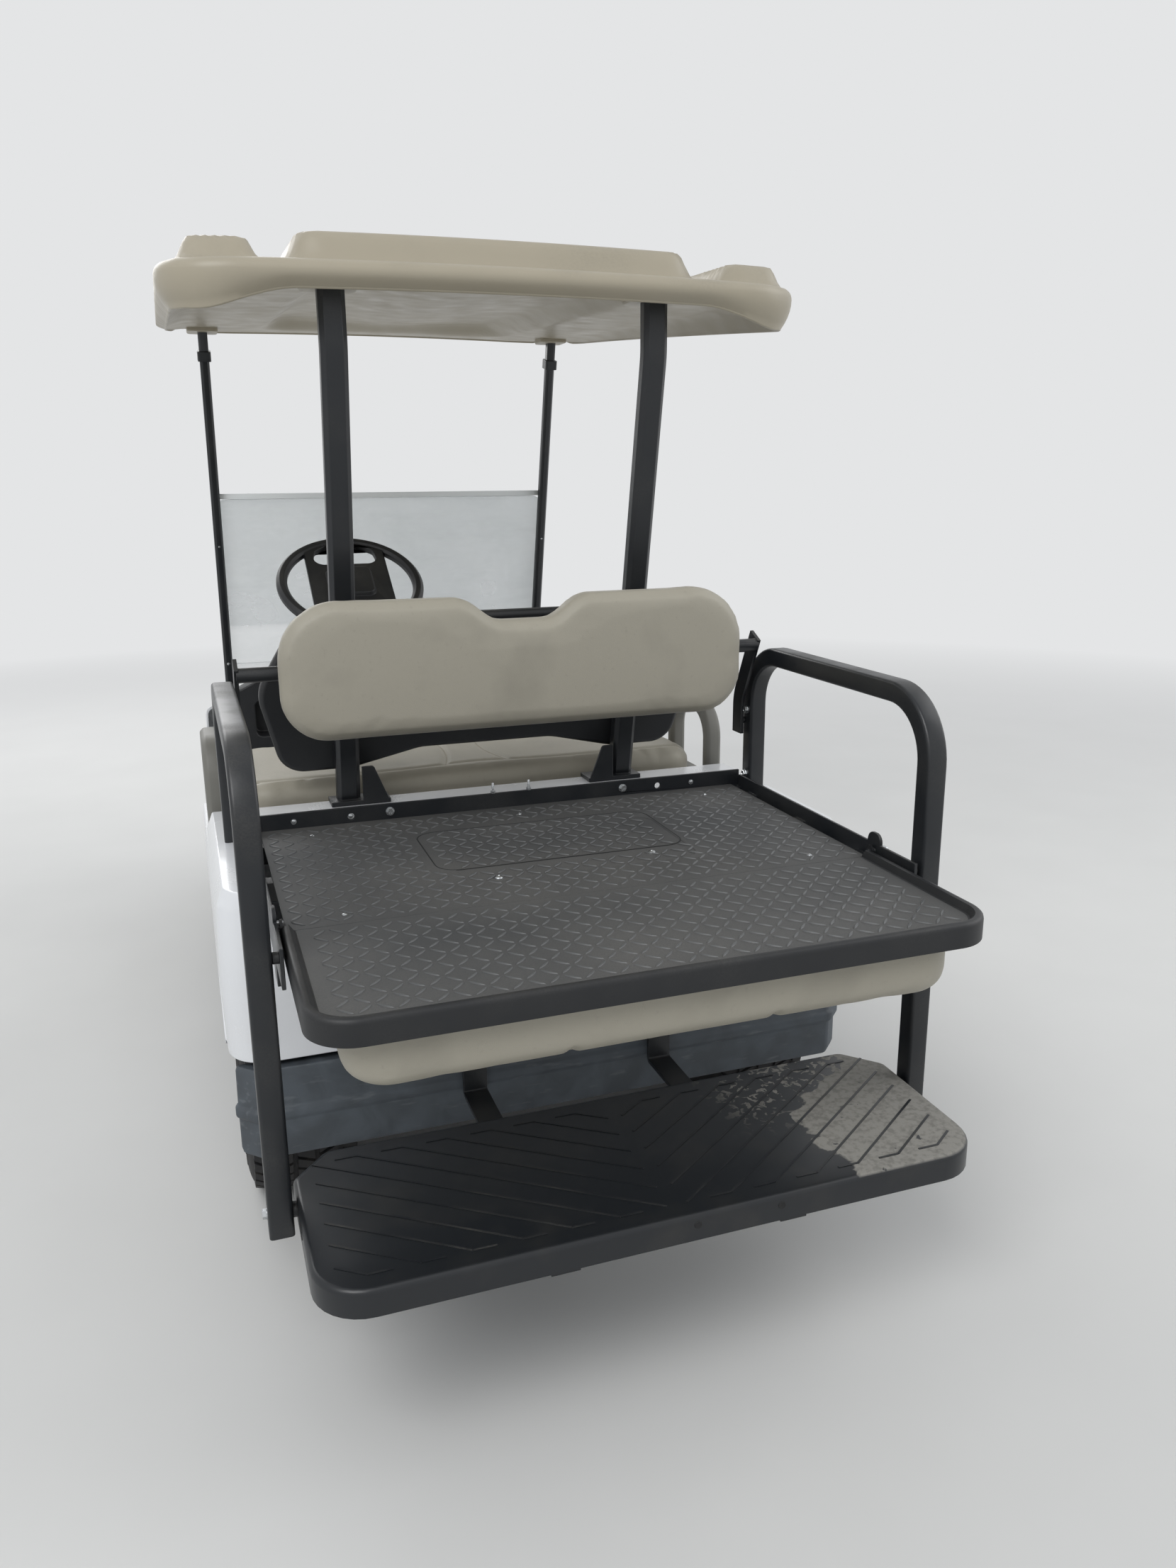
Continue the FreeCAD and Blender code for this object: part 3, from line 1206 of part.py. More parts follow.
def kit_base():
    """Front angle rail, side plates with fold brackets and pins, cross tubes and two legs to the chassis."""
    inner = SIDE_PLATE_X
    outer = f"({SIDE_PLATE_X} + plate_thick)"
    leg_y = "(body_rear_y - kit_leg_setback)"
    shelf = "(body_top_z + seat_gap)"
    sheet_under = "(deck_z - deck_sheet - seat_gap)"
    parts = [
        box((f"-{outer}", outer), ("well_front_y - 14", "well_front_y - 14 + plate_thick"), (shelf, "front_rail_top_z")),
        box((f"-{outer}", outer), ("well_front_y - 14", "well_front_y + 14"), (shelf, sheet_under)),
    ]
    for y in ("well_front_y + 55", leg_y, "fold_y - 52"):
        parts.append(box((f"-{outer}", outer), (y, f"{y} + kit_tube"), (f"{sheet_under} - kit_tube", sheet_under)))
    for _, side in SIDES:
        parts.append(box(spread(side, inner, outer), ("well_front_y + 1", "hoop_rear_y + tube / 2"),
                         ("side_plate_low_z", "side_plate_top_z")))
        bracket = new_body("FoldBracket")
        pad(bracket, "YZ", f"{side} * ({inner} + plate_thick / 2)", [
            ("fold_y - 46", f"{FOLD_Z} - 60"), ("fold_y - 22", f"{FOLD_Z} - 90"), ("fold_y + 18", f"{FOLD_Z} - 90"),
            ("fold_y + 18", f"{FOLD_Z} + 34", 16), ("fold_y - 18", f"{FOLD_Z} + 34", 16)], "plate_thick", True)
        parts.append(bracket)
        low, high = spread(side, f"{TRAY_HALF} - tray_wall - 5", outer)
        parts.append(rod("x", "fold_pin_radius", (low, "fold_y", FOLD_Z), f"({high}) - ({low})"))
        low, high = spread(side, inner, f"{HOOP_INNER} - seat_gap")
        for y in ("hoop_front_y + 8", "hoop_rear_y"):
            parts.append(rod("x", 9, (low, y, "side_plate_top_z - 20"), f"({high}) - ({low})"))
        parts.append(box(spread(side, "kit_leg_x - kit_tube / 2", "kit_leg_x + kit_tube / 2"),
                         (leg_y, f"{leg_y} + kit_tube"), (f"{RAIL_TOP} + seat_gap", f"{sheet_under} - kit_tube + 1")))
    holes = [rod("y", "rail_hole_radius", (f"{side} * (rail_hole_x + {i} * rail_hole_pitch)", "well_front_y - 20",
                                           "front_rail_top_z - 19"), 20) for _, side in SIDES for i in (0, 1)]
    keep(cut(fuse(parts), holes), "kit_base")


def deck_fixed():
    body = new_body("deck_fixed")
    half = f"{SIDE_PLATE_X} - deck_play"
    pad(body, "XY", "deck_z - deck_sheet",
        rectangle((f"-({half})", half), ("well_front_y - 14 + plate_thick + seat_gap", "fold_y - 2")), "deck_sheet")
    pocket(body, "XY", "deck_z - recess_depth",
           rectangle(("-recess_left", "recess_right"), ("recess_front_y", "recess_rear_y"), 40), 2)
    keep(body, "deck_fixed")


def flip_tray():
    """Cargo tray with a rim on three sides, turned about two pins in its ears."""
    body = new_body("Tray")
    low = "(deck_z + rim_rise - tray_height)"
    front = "(fold_y + 2)"
    half = TRAY_HALF
    pad(body, "XY", low, [(f"-{half}", front), (half, front), (half, "tray_rear_y", "tray_corner"),
                          (f"-{half}", "tray_rear_y", "tray_corner")], "tray_height")
    inside = [(f"tray_wall - {half}", f"{front} - 9"), (f"{half} - tray_wall", f"{front} - 9"),
              (f"{half} - tray_wall", "tray_rear_y - tray_wall", "tray_corner - tray_wall"),
              (f"tray_wall - {half}", "tray_rear_y - tray_wall", "tray_corner - tray_wall")]
    pocket(body, "XY", "deck_z", inside, "rim_rise + 1")
    pocket(body, "XY", f"{low}", inside, "tray_height - rim_rise - deck_sheet")
    ears, bores = [], []
    for _, side in SIDES:
        low_x, high_x = spread(side, f"{half} - tray_wall", half)
        ears.append(rod("x", "ear_radius", (low_x, "fold_y", FOLD_Z), "tray_wall"))
        bores.append(rod("x", "fold_pin_radius + bearing_play", (f"({low_x}) - 1", "fold_y", FOLD_Z), "tray_wall + 2"))
    keep(cut(fuse([body] + ears), bores), "flip_tray")


def flip_cushion():
    body = new_body("flip_cushion")
    top = "(deck_z - deck_sheet - seat_gap)"
    half = f"({TRAY_HALF} - flip_cushion_margin)"
    pad(body, "XY", f"{top} - flip_cushion_thick",
        rectangle((f"-{half}", half), ("flip_cushion_front_y", "flip_cushion_rear_y"), 70), "flip_cushion_thick")
    ease_edges("Fillet", body, "flip_cushion_thick / 3", at("z", f"{top} - flip_cushion_thick"))
    keep(body, "flip_cushion")


def rear_back_cushion():
    """Back cushion with two lobes, a notch between them and eased edges."""
    body = new_body("rear_back_cushion")
    half, top = f"({ARM_X} - arm_thick / 2 - rear_back_margin)", "rear_back_top_z"
    pad(body, "XZ", "-(rear_back_y + rear_back_thick)", mirrored([
        (half, "rear_back_low_z", 90), (half, top, 118), (118, top, 70), (58, f"{top} - rear_back_notch", 50)]),
        "rear_back_thick")
    ease_edges("Chamfer", body, "rear_back_bevel", at("y", "rear_back_y", "rear_back_y + rear_back_thick"))
    keep(body, "rear_back_cushion")


def backrest_frame():
    """Flat arms bolted to the hoops' front legs, carrying a round bar behind the cushion."""
    parts = []
    bar_y = "(rear_back_y - seat_gap - back_bar_radius)"
    for _, side in SIDES:
        body = new_body("Arm")
        pipe(body, f"{side} * {ARM_X}", [("hoop_front_y - 26", "arm_low_z"), ("hoop_front_y - 26", "arm_bend_z", 90),
                                         (f"{bar_y} - 4", "arm_top_z")], "arm_thick", "arm_wide")
        parts.append(body)
        low, high = spread(side, f"{ARM_X} + arm_thick / 2", f"{HOOP_INNER} - seat_gap")
        parts.append(rod("x", 7, (low, "hoop_front_y - 12", "arm_low_z + 30"), f"({high}) - ({low})"))
    parts.append(rod("x", "back_bar_radius", (f"-{ARM_X}", bar_y, "arm_top_z - 20"), f"2 * {ARM_X}"))
    keep(fuse(parts), "backrest_frame")


def foot_step():
    """Pressed foot plate with turned-down edges, bevelled in front and rounded behind."""
    body = new_body("foot_step")
    def plan(inset):
        half = f"{STEP_HALF} - {inset}"
        return [(f"step_nose - ({half})", f"step_front_y + {inset}"), (f"{half} - step_nose", f"step_front_y + {inset}"),
                (half, "step_front_y + step_nose + 6"), (half, f"step_rear_y - {inset}", f"step_corner - {inset}"),
                (f"-({half})", f"step_rear_y - {inset}", f"step_corner - {inset}"), (f"-({half})", "step_front_y + step_nose + 6")]
    pad(body, "XY", "step_top_z - step_height", plan("0"), "step_height")
    pocket(body, "XY", "step_top_z - step_height", plan("step_sheet"), "step_height - step_sheet")
    keep(body, "foot_step")


def step_straps():
    """Two flat straps from the chassis rails over the bumper and under the foot plate."""
    straps = []
    rail = f"({RAIL_TOP} + seat_gap)"
    top = "(bumper_base_z + bumper_height + seat_gap)"
    low = "(step_top_z - step_height - seat_gap - strap_thick)"
    rise, face = "(rail_rear_y - 8)", "(rear_bumper_y + seat_gap)"
    for _, side in SIDES:
        body = new_body("Strap")
        pad(body, "YZ", f"{side} * rail_x", [
            ("rail_rear_y - 210", rail), (rise, rail, 12), (rise, top, 4), (face, top, 4), (face, low, 12), ("step_rear_y - 6", low),
            ("step_rear_y - 6", f"{low} + strap_thick"), (f"{face} + strap_thick", f"{low} + strap_thick", 4),
            (f"{face} + strap_thick", f"{top} + strap_thick", 12), (f"{rise} - strap_thick", f"{top} + strap_thick", 12),
            (f"{rise} - strap_thick", f"{rail} + strap_thick", 4), ("rail_rear_y - 210", f"{rail} + strap_thick")], "strap_wide", True)
        straps.append(body)
    group = doc.addObject("Part::Compound", "Straps")
    group.Links = straps
    keep(group, "step_straps")


for side_name, side in SIDES:
    side_frame(side_name, side)
kit_base()
deck_fixed()
flip_tray()
flip_cushion()
rear_back_cushion()
backrest_frame()
foot_step()
step_straps()


# Check every object, then write one file per sub-part
doc.recompute()
for thing in doc.Objects:
    if {"Invalid", "Error"} & set(thing.State):
        raise ValueError(f"{thing.Name} ({thing.Label}) failed to build")
os.makedirs("parts", exist_ok=True)
for node in nodes:
    shape = node.Shape
    if shape.isNull() or not shape.isValid() or not shape.Solids:
        raise ValueError(f"{node.Label} has no valid solid")
    shape.exportStep(f"parts/{node.Label}.step")
    print(node.Label, len(shape.Solids), "solids", round(shape.Volume / 1000), "cm3")
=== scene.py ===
"""Looks of a golf cart with its rear seat flipped over into a cargo deck.

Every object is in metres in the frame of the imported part: +Z up, the cart faces -Y, its left side is +X.
"""

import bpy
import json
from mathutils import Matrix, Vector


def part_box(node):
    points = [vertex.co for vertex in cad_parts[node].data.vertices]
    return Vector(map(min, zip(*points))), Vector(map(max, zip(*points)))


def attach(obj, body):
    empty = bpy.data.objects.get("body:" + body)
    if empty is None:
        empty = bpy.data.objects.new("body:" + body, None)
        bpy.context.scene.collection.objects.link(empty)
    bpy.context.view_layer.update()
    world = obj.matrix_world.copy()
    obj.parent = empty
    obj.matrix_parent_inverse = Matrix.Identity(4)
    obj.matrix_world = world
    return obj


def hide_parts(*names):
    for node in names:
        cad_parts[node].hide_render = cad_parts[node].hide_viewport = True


bl_info = {
    "name": "Golf cart dressing",
    "version": (1, 0, 0),
    "blender": (4, 5, 0),
    "location": "3D View > Sidebar > Cart",
    "description": "Cushions, tyres, tread plates, shells, fittings and finishes around a golf cart's frame",
    "category": "Add Mesh",
}

import json
import math

import bmesh
import bpy
import numpy as np
from bpy.props import FloatProperty, FloatVectorProperty, IntProperty, PointerProperty
from mathutils import Matrix, Vector
from mathutils.bvhtree import BVHTree
from mathutils.kdtree import KDTree

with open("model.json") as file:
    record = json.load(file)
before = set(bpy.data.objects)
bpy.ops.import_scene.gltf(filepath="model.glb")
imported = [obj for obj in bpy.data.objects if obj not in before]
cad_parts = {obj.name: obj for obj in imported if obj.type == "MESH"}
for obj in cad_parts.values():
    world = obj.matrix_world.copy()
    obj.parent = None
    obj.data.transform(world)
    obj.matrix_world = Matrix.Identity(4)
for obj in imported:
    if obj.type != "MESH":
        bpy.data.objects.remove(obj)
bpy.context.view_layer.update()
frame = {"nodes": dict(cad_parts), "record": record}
NODES = frame["nodes"]
BODY_OF = {node: body for body, members in frame["record"]["behaviour"]["bodies"].items() for node in members}
SLOT_OF = {part["node"]: part["material_slot"] for part in frame["record"]["subparts"]}
MM = 0.001
ENDS = ("front", "rear")
SIDES = (("left", 1), ("right", -1))


def linear(code):
    """The linear RGB of an sRGB hex colour."""
    parts = [int(code[i : i + 2], 16) / 255 for i in (1, 3, 5)]
    return tuple(c / 12.92 if c <= 0.04045 else ((c + 0.055) / 1.055) ** 2.4 for c in parts)


def colour(code, text):
    """A colour setting that is shown under its text."""
    return FloatVectorProperty(name=text, description=f"{text}, linear RGB", subtype="COLOR",
                               default=linear(code))


def length(metres, text):
    """A length setting that is shown under its text."""
    return FloatProperty(name=text, description=f"{text} in metres", unit="LENGTH", default=metres,
                         precision=4)


class CartSizes(bpy.types.PropertyGroup):
    """Sizes that a user may change before the pieces are built."""

    lozenge_pitch: length(0.026, "Distance between tread plate lozenges")
    lozenge_length: length(0.030, "Length of a tread plate lozenge")
    lozenge_width: length(0.0056, "Width of a tread plate lozenge")
    lozenge_rise: length(0.0016, "Height of a tread plate lozenge")
    seam_depth: length(0.0045, "Depth of a sewn seam")
    seam_width: length(0.0075, "Half width of the hollow beside a seam")
    stitch_pitch: length(0.0065, "Distance between stitches")
    cushion_voxel: length(0.008, "Voxel of the simulated cushions")
    grip_count: IntProperty(name="Tread blocks", description="Blocks round a tyre in each row", default=42,
                            min=12)


class CartColours(bpy.types.PropertyGroup):
    """Colours of the finishes."""

    body_white: colour("#e9ebee", "White of the moulded body")
    roof_tan: colour("#a8a08e", "Tan of the roof")
    vinyl: colour("#a5a092", "Grey-beige of the seat vinyl")
    black_coat: colour("#1b1e22", "Black of the powder coat")
    tread: colour("#313437", "Charcoal of the tread plates")
    bumper: colour("#4b5157", "Weathered grey of the bumpers")
    rubber: colour("#1c1c1e", "Black of the tyres")
    moulded: colour("#16181b", "Black of moulded plastic")


def sizes():
    return bpy.context.scene.cart_sizes


def tints():
    return bpy.context.scene.cart_colours


# Shader building blocks
def add(tree, kind, inputs=None, **settings):
    """A shader node with its settings, its inputs set to values or linked to other sockets."""
    item = tree.nodes.new("ShaderNode" + kind)
    for name, value in settings.items():
        setattr(item, name, value)
    for name, value in (inputs or {}).items():
        if isinstance(value, bpy.types.NodeSocket):
            tree.links.new(value, item.inputs[name])
        else:
            item.inputs[name].default_value = value
    return item


def finish(name, colour, roughness, **sockets):
    """A material whose one shader holds its constant values; returns it with its tree and shader."""
    material = bpy.data.materials.new(name)
    material.use_nodes = True
    tree = material.node_tree
    shader = tree.nodes["Principled BSDF"]
    shader.inputs["Base Color"].default_value = (*colour, 1)
    shader.inputs["Roughness"].default_value = roughness
    for socket, value in sockets.items():
        shader.inputs[socket.replace("_", " ")].default_value = value
    material.diffuse_color = (*colour, 1)
    return material, tree, shader


def calc(tree, operation, *values):
    """What a maths node makes of one or two values."""
    return add(tree, "Math", dict(enumerate(values)), operation=operation).outputs[0]


def object_place(tree):
    """A point's place in its object's own coordinates."""
    return add(tree, "TexCoord").outputs["Object"]


def speckle(tree, size_mm, detail=3.0, stretch=(1, 1, 1), distort=0.0):
    """Noise on object coordinates whose blotches are about size_mm across."""
    scaled = add(tree, "Mapping", {"Vector": object_place(tree), "Scale": stretch}).outputs["Vector"]
    return add(tree, "TexNoise", {"Vector": scaled, "Scale": 1 / (size_mm * MM), "Detail": detail,
                                  "Distortion": distort}).outputs["Fac"]


def ramp(tree, value, low, high, first=0.0, last=1.0):
    """A value stretched between two levels and clamped."""
    return add(tree, "MapRange", {"Value": value, "From Min": low, "From Max": high, "To Min": first,
                                  "To Max": last}).outputs["Result"]


def mix(tree, share, first, second):
    """One colour over another by a share."""
    item = add(tree, "Mix", data_type="RGBA")
    for socket, value in ((item.inputs[0], share), (item.inputs[6], first), (item.inputs[7], second)):
        if isinstance(value, bpy.types.NodeSocket):
            tree.links.new(value, socket)
        elif hasattr(value, "__len__"):
            socket.default_value = (*value[:3], 1)
        else:
            socket.default_value = value
    return item.outputs[2]


def bump(tree, shader, height, depth_mm, strength=1.0):
    """Give the shader a bump of a real depth."""
    item = add(tree, "Bump", {"Height": height, "Distance": depth_mm * MM, "Strength": strength})
    tree.links.new(item.outputs["Normal"], shader.inputs["Normal"])


def upward(tree):
    """How far the surface faces up, 0 to 1."""
    normal = add(tree, "NewGeometry").outputs["Normal"]
    return add(tree, "SeparateXYZ", {"Vector": normal}).outputs["Z"]


def darker(tone, share):
    return tuple(c * share for c in tone)


def dusted(tree, shader, tone, dust, amount, patch_mm=90, grain_mm=3.0):
    """Dust lying in patches, more on what faces up, over a base tone."""
    patches = ramp(tree, speckle(tree, patch_mm, 5.0), 0.42, 0.7)
    grains = ramp(tree, speckle(tree, grain_mm, 2.0), 0.35, 0.75, 0.35, 1.0)
    facing = ramp(tree, upward(tree), -0.2, 1.0, 0.25, 1.0)
    both = calc(tree, "MULTIPLY", patches, grains)
    lying = calc(tree, "MULTIPLY", both, facing)
    share = calc(tree, "MULTIPLY", lying, amount)
    tree.links.new(mix(tree, share, tone, dust), shader.inputs["Base Color"])
    return share


# Finishes, one function for each real material
def moulded_white():
    """Gel-coated thermoplastic, injection moulded and glossy: clear white, a faint ripple and road dust."""
    material, tree, shader = finish("gloss_white_abs", tints().body_white, 0.22, Coat_Weight=0.35,
                                    Coat_Roughness=0.08)
    share = dusted(tree, shader, tints().body_white, linear("#b9b2a4"), 0.22, 160, 4.0)
    tree.links.new(ramp(tree, share, 0.0, 0.25, 0.2, 0.5), shader.inputs["Roughness"])
    bump(tree, shader, speckle(tree, 38.0, 1.5), 0.25)
    return material


def thermoformed_tan():
    """Thermoformed ABS sheet with a fine haircell grain, sun-faded: a soft sheen that breaks up close to."""
    material, tree, shader = finish("haircell_tan_abs", tints().roof_tan, 0.42)
    dusted(tree, shader, tints().roof_tan, linear("#8b8678"), 0.5, 140, 5.0)
    tree.links.new(ramp(tree, speckle(tree, 60.0), 0.3, 0.7, 0.34, 0.5), shader.inputs["Roughness"])
    bump(tree, shader, speckle(tree, 1.6, 2.0), 0.05)
    return material


def marine_vinyl():
    """Calendered PVC on knit, embossed with a leather pebble of 1.5 mm: a low sheen with soiled hollows."""
    material, tree, shader = finish("embossed_vinyl", tints().vinyl, 0.5, Sheen_Weight=0.05)
    pebble_mm = 2.2
    cells = add(tree, "TexVoronoi", {"Vector": object_place(tree), "Scale": 1 / (pebble_mm * MM)},
                feature="DISTANCE_TO_EDGE")
    pebble = ramp(tree, cells.outputs["Distance"], 0.0, 0.22)
    soil = ramp(tree, speckle(tree, 120.0, 6.0), 0.5, 0.8, 0.0, 0.45)
    spots = ramp(tree, speckle(tree, 9.0, 4.0), 0.62, 0.78, 0.0, 0.25)
    dirt = calc(tree, "MAXIMUM", soil, spots)
    stained = mix(tree, dirt, tints().vinyl, darker(tints().vinyl, 0.62))
    tree.links.new(stained, shader.inputs["Base Color"])
    tree.links.new(ramp(tree, pebble, 0.0, 1.0, 0.62, 0.44), shader.inputs["Roughness"])
    bump(tree, shader, pebble, 0.09, 0.7)
    return material


def powder_coat():
    """Steel with a satin black polyester powder coat: slight orange peel and dust on its tops."""
    material, tree, shader = finish("satin_black_powder_coat", tints().black_coat, 0.36)
    share = dusted(tree, shader, tints().black_coat, linear("#6d6a63"), 0.35, 110, 2.5)
    tree.links.new(ramp(tree, share, 0.0, 0.3, 0.33, 0.65), shader.inputs["Roughness"])
    bump(tree, shader, speckle(tree, 2.4, 1.0), 0.05)
    return material


def along(tree, axis, low, high):
    """How far a point lies along an axis of its object between two places, 0 to 1."""
    return ramp(tree, add(tree, "SeparateXYZ", {"Vector": object_place(tree)}).outputs[axis], low, high)


def tread_plate():
    """Moulded polyethylene deck in charcoal: the tops of its lozenges are paler and smoother, partly rubbed
    and partly a painted highlight standing in for their sheen, and dust has greyed what lies between them."""
    tone = tints().tread
    material, tree, shader = finish("charcoal_tread_plate", tone, 0.5)
    deck = corners_of("deck_fixed")[1][2]
    # Lozenge tops made paler: wear, and a painted highlight for their sheen.
    rubbed_and_painted_sheen = along(tree, "Z", deck + 0.0003, deck + 0.0013)
    dust = ramp(tree, speckle(tree, 420.0, 4.0), 0.35, 0.75, 0.12, 0.42)
    grains = ramp(tree, speckle(tree, 1.6, 2.0), 0.3, 0.7, 0.6, 1.0)
    lying = calc(tree, "MULTIPLY", dust, grains)
    floor = mix(tree, lying, tone, linear("#8b8882"))
    tree.links.new(mix(tree, rubbed_and_painted_sheen, floor, linear("#595b5c")), shader.inputs["Base Color"])
    tree.links.new(ramp(tree, rubbed_and_painted_sheen, 0.0, 1.0, 0.62, 0.34), shader.inputs["Roughness"])
    bump(tree, shader, speckle(tree, 1.2, 3.0), 0.06)
    return material


def peeled_and_sunlit_step():
    """Painted steel foot plate: satin black with dried mud, and from its right end the film has worn off to a
    dusty grey primer, with a torn edge that runs out to the front corner and a flaking patch beside it. The
    pale primer is partly painted sunlight: its rear edge lies along a shadow edge, and the worn plate in
    shade beside it is painted as black coat, a painted shadow."""
    base = tints().black_coat
    material, tree, shader = finish("peeled_black_paint_and_painted_sunlight", base, 0.45)
    # The pale area's rear edge is laid on a sun and shadow edge: painted sunlight on the primer, painted
    # shadow as dark coat beside it.
    outer, ahead = along(tree, "X", -0.22, -0.52), along(tree, "Y", 1.25, 1.11)
    held = calc(tree, "MULTIPLY", ahead, 0.60)
    bare_and_sunlit = calc(tree, "SUBTRACT", outer, held)
    edge = ramp(tree, speckle(tree, 45.0, 7.0, distort=0.4), 0.3, 0.7, -0.08, 0.08)
    torn_and_sunlit = calc(tree, "ADD", bare_and_sunlit, edge)
    lifted_and_sunlit = ramp(tree, torn_and_sunlit, 0.24, 0.26)
    flakes = ramp(tree, speckle(tree, 26.0, 5.0, distort=0.3), 0.30, 0.33)
    patch = calc(tree, "MULTIPLY", along(tree, "X", -0.16, -0.24), along(tree, "Y", 1.30, 1.18))
    chips = ramp(tree, speckle(tree, 16.0, 5.0, distort=0.8), 0.56, 0.58)
    chipped = calc(tree, "MULTIPLY", patch, chips)
    lifted_and_sunlit = calc(tree, "MAXIMUM", lifted_and_sunlit, chipped)
    top = ramp(tree, upward(tree), 0.6, 0.9)
    peeled_and_sunlit = calc(tree, "MULTIPLY", lifted_and_sunlit, flakes)
    peeled_and_sunlit = calc(tree, "MULTIPLY", peeled_and_sunlit, top)
    mud = ramp(tree, speckle(tree, 90.0, 6.0), 0.5, 0.8, 0.0, 0.35)
    coat = mix(tree, mud, base, linear("#3f3d39"))
    primer = mix(tree, ramp(tree, speckle(tree, 9.0, 3.0), 0.45, 0.65), linear("#8e8c86"), linear("#7a7873"))
    tree.links.new(mix(tree, peeled_and_sunlit, coat, primer), shader.inputs["Base Color"])
    tree.links.new(ramp(tree, peeled_and_sunlit, 0.0, 1.0, 0.34, 0.85), shader.inputs["Roughness"])
    bump(tree, shader, peeled_and_sunlit, -0.25, 0.8)
    return material


def weathered_bumper():
    """Rotomoulded polyethylene, sun-bleached to a blotchy blue grey, matt with scuffs along it."""
    tone = tints().bumper
    material, tree, shader = finish("bleached_polyethylene", tone, 0.62)
    bleach = ramp(tree, speckle(tree, 70.0, 6.0, distort=0.8), 0.38, 0.68)
    scuffs = ramp(tree, speckle(tree, 14.0, 4.0, stretch=(0.2, 1.0, 1.0)), 0.6, 0.72, 0.0, 0.5)
    pale = mix(tree, bleach, darker(tone, 0.8), darker(tone, 1.25))
    tree.links.new(mix(tree, scuffs, pale, linear("#6c7175")), shader.inputs["Base Color"])
    tree.links.new(ramp(tree, bleach, 0.0, 1.0, 0.5, 0.75), shader.inputs["Roughness"])
    bump(tree, shader, speckle(tree, 3.0, 4.0), 0.15)
    return material


def tyre_rubber():
    """Cured carbon-black rubber with road dust in the grooves."""
    material, tree, shader = finish("dusty_tyre_rubber", tints().rubber, 0.72)
    dusted(tree, shader, tints().rubber, linear("#5f5a52"), 0.7, 45, 2.0)
    bump(tree, shader, speckle(tree, 1.0, 2.0), 0.06)
    return material


def grained_plastic(name, tone, grain_mm=1.1, roughness=0.5):
    """Injection-moulded polypropylene with a fine spark-eroded grain."""
    material, tree, shader = finish(name, tone, roughness)
    dusted(tree, shader, tone, linear("#5c5a55"), 0.3, 120, 3.0)
    bump(tree, shader, speckle(tree, grain_mm, 2.0), 0.06)
    return material


def stove_enamel(name, tone, roughness=0.3):
    """Pressed steel in baked enamel, with brake dust."""
    material, tree, shader = finish(name, tone, roughness)
    dusted(tree, shader, tone, linear("#57503f"), 0.5, 35, 2.0)
    bump(tree, shader, speckle(tree, 6.0, 1.0), 0.04)
    return material


def mill_steel():
    """Rolled spring steel with mill scale and a film of brown road dirt."""
    material, tree, shader = finish("rolled_spring_steel", linear("#5a564f"), 0.5, Metallic=0.85)
    dusted(tree, shader, linear("#5a564f"), linear("#4a3a2b"), 0.8, 30, 2.0)
    bump(tree, shader, speckle(tree, 12.0, 3.0, stretch=(1, 0.2, 1)), 0.1)
    return material


def zinc_plate():
    """Bright zinc plating with a blue passivate, slightly clouded."""
    material, tree, shader = finish("bright_zinc", linear("#c3c6c8"), 0.3, Metallic=1.0)
    tree.links.new(ramp(tree, speckle(tree, 4.0), 0.3, 0.7, 0.2, 0.42), shader.inputs["Roughness"])
    return material


def hazed_acrylic():
    """Cast acrylic sheet gone milky with sun and wiping: clear depth under an even veil of fine scratches."""
    material, tree, shader = finish("hazed_acrylic", linear("#f3f5f5"), 0.08, IOR=1.49,
                                    Transmission_Weight=0.93)
    veil = ramp(tree, speckle(tree, 260.0, 3.0), 0.3, 0.75, 0.26, 0.38)
    wiped = ramp(tree, speckle(tree, 40.0, 3.0, stretch=(0.35, 1, 1)), 0.5, 0.8, 0.0, 0.06)
    share = calc(tree, "ADD", veil, wiped)
    milk = (*linear("#e6e9ea"), 1)
    milky = add(tree, "BsdfDiffuse", {"Color": milk}).outputs[0]
    glow = add(tree, "BsdfTranslucent", {"Color": milk}).outputs[0]
    veiled = add(tree, "MixShader", {0: 0.5, 1: milky, 2: glow}).outputs[0]
    through = add(tree, "BsdfTransparent", {"Color": (0.98, 0.98, 0.98, 1)}).outputs[0]
    clear = add(tree, "MixShader", {0: 0.75, 1: shader.outputs[0], 2: through}).outputs[0]
    sheet = add(tree, "MixShader", {0: share, 1: clear, 2: veiled}).outputs[0]
    tree.links.new(sheet, tree.nodes["Material Output"].inputs["Surface"])
    return material


def edge_with_painted_glint():
    """The sawn and flame-polished edge of acrylic sheet, painted near white: a painted highlight standing in
    for the sunlit glint along the windscreen's edges.
    """
    material, tree, shader = finish("acrylic_edge_painted_glint", linear("#eef2f3"), 0.25, IOR=1.49)
    bump(tree, shader, speckle(tree, 3.0, 1.0), 0.05)
    return material


def plated_reflector():
    """Aluminium evaporated on a moulded lamp bowl: a bright, faintly rippled mirror."""
    material, tree, shader = finish("plated_reflector", linear("#d7dadc"), 0.12, Metallic=1.0)
    bump(tree, shader, speckle(tree, 14.0, 1.0), 0.1)
    return material


def sewing_thread():
    """Bonded polyester thread, matt, a little paler than the vinyl."""
    material, tree, shader = finish("bonded_polyester_thread", linear("#b5ae9d"), 0.8, Sheen_Weight=0.2)
    bump(tree, shader, speckle(tree, 0.8, 1.0), 0.05)
    return material


def lamp_glass():
    """Clear polycarbonate lamp cover."""
    material, tree, shader = finish("clear_polycarbonate", linear("#f0f2f4"), 0.06, IOR=1.58,
                                    Transmission_Weight=0.9)
    bump(tree, shader, speckle(tree, 20.0, 1.0), 0.05)
    return material


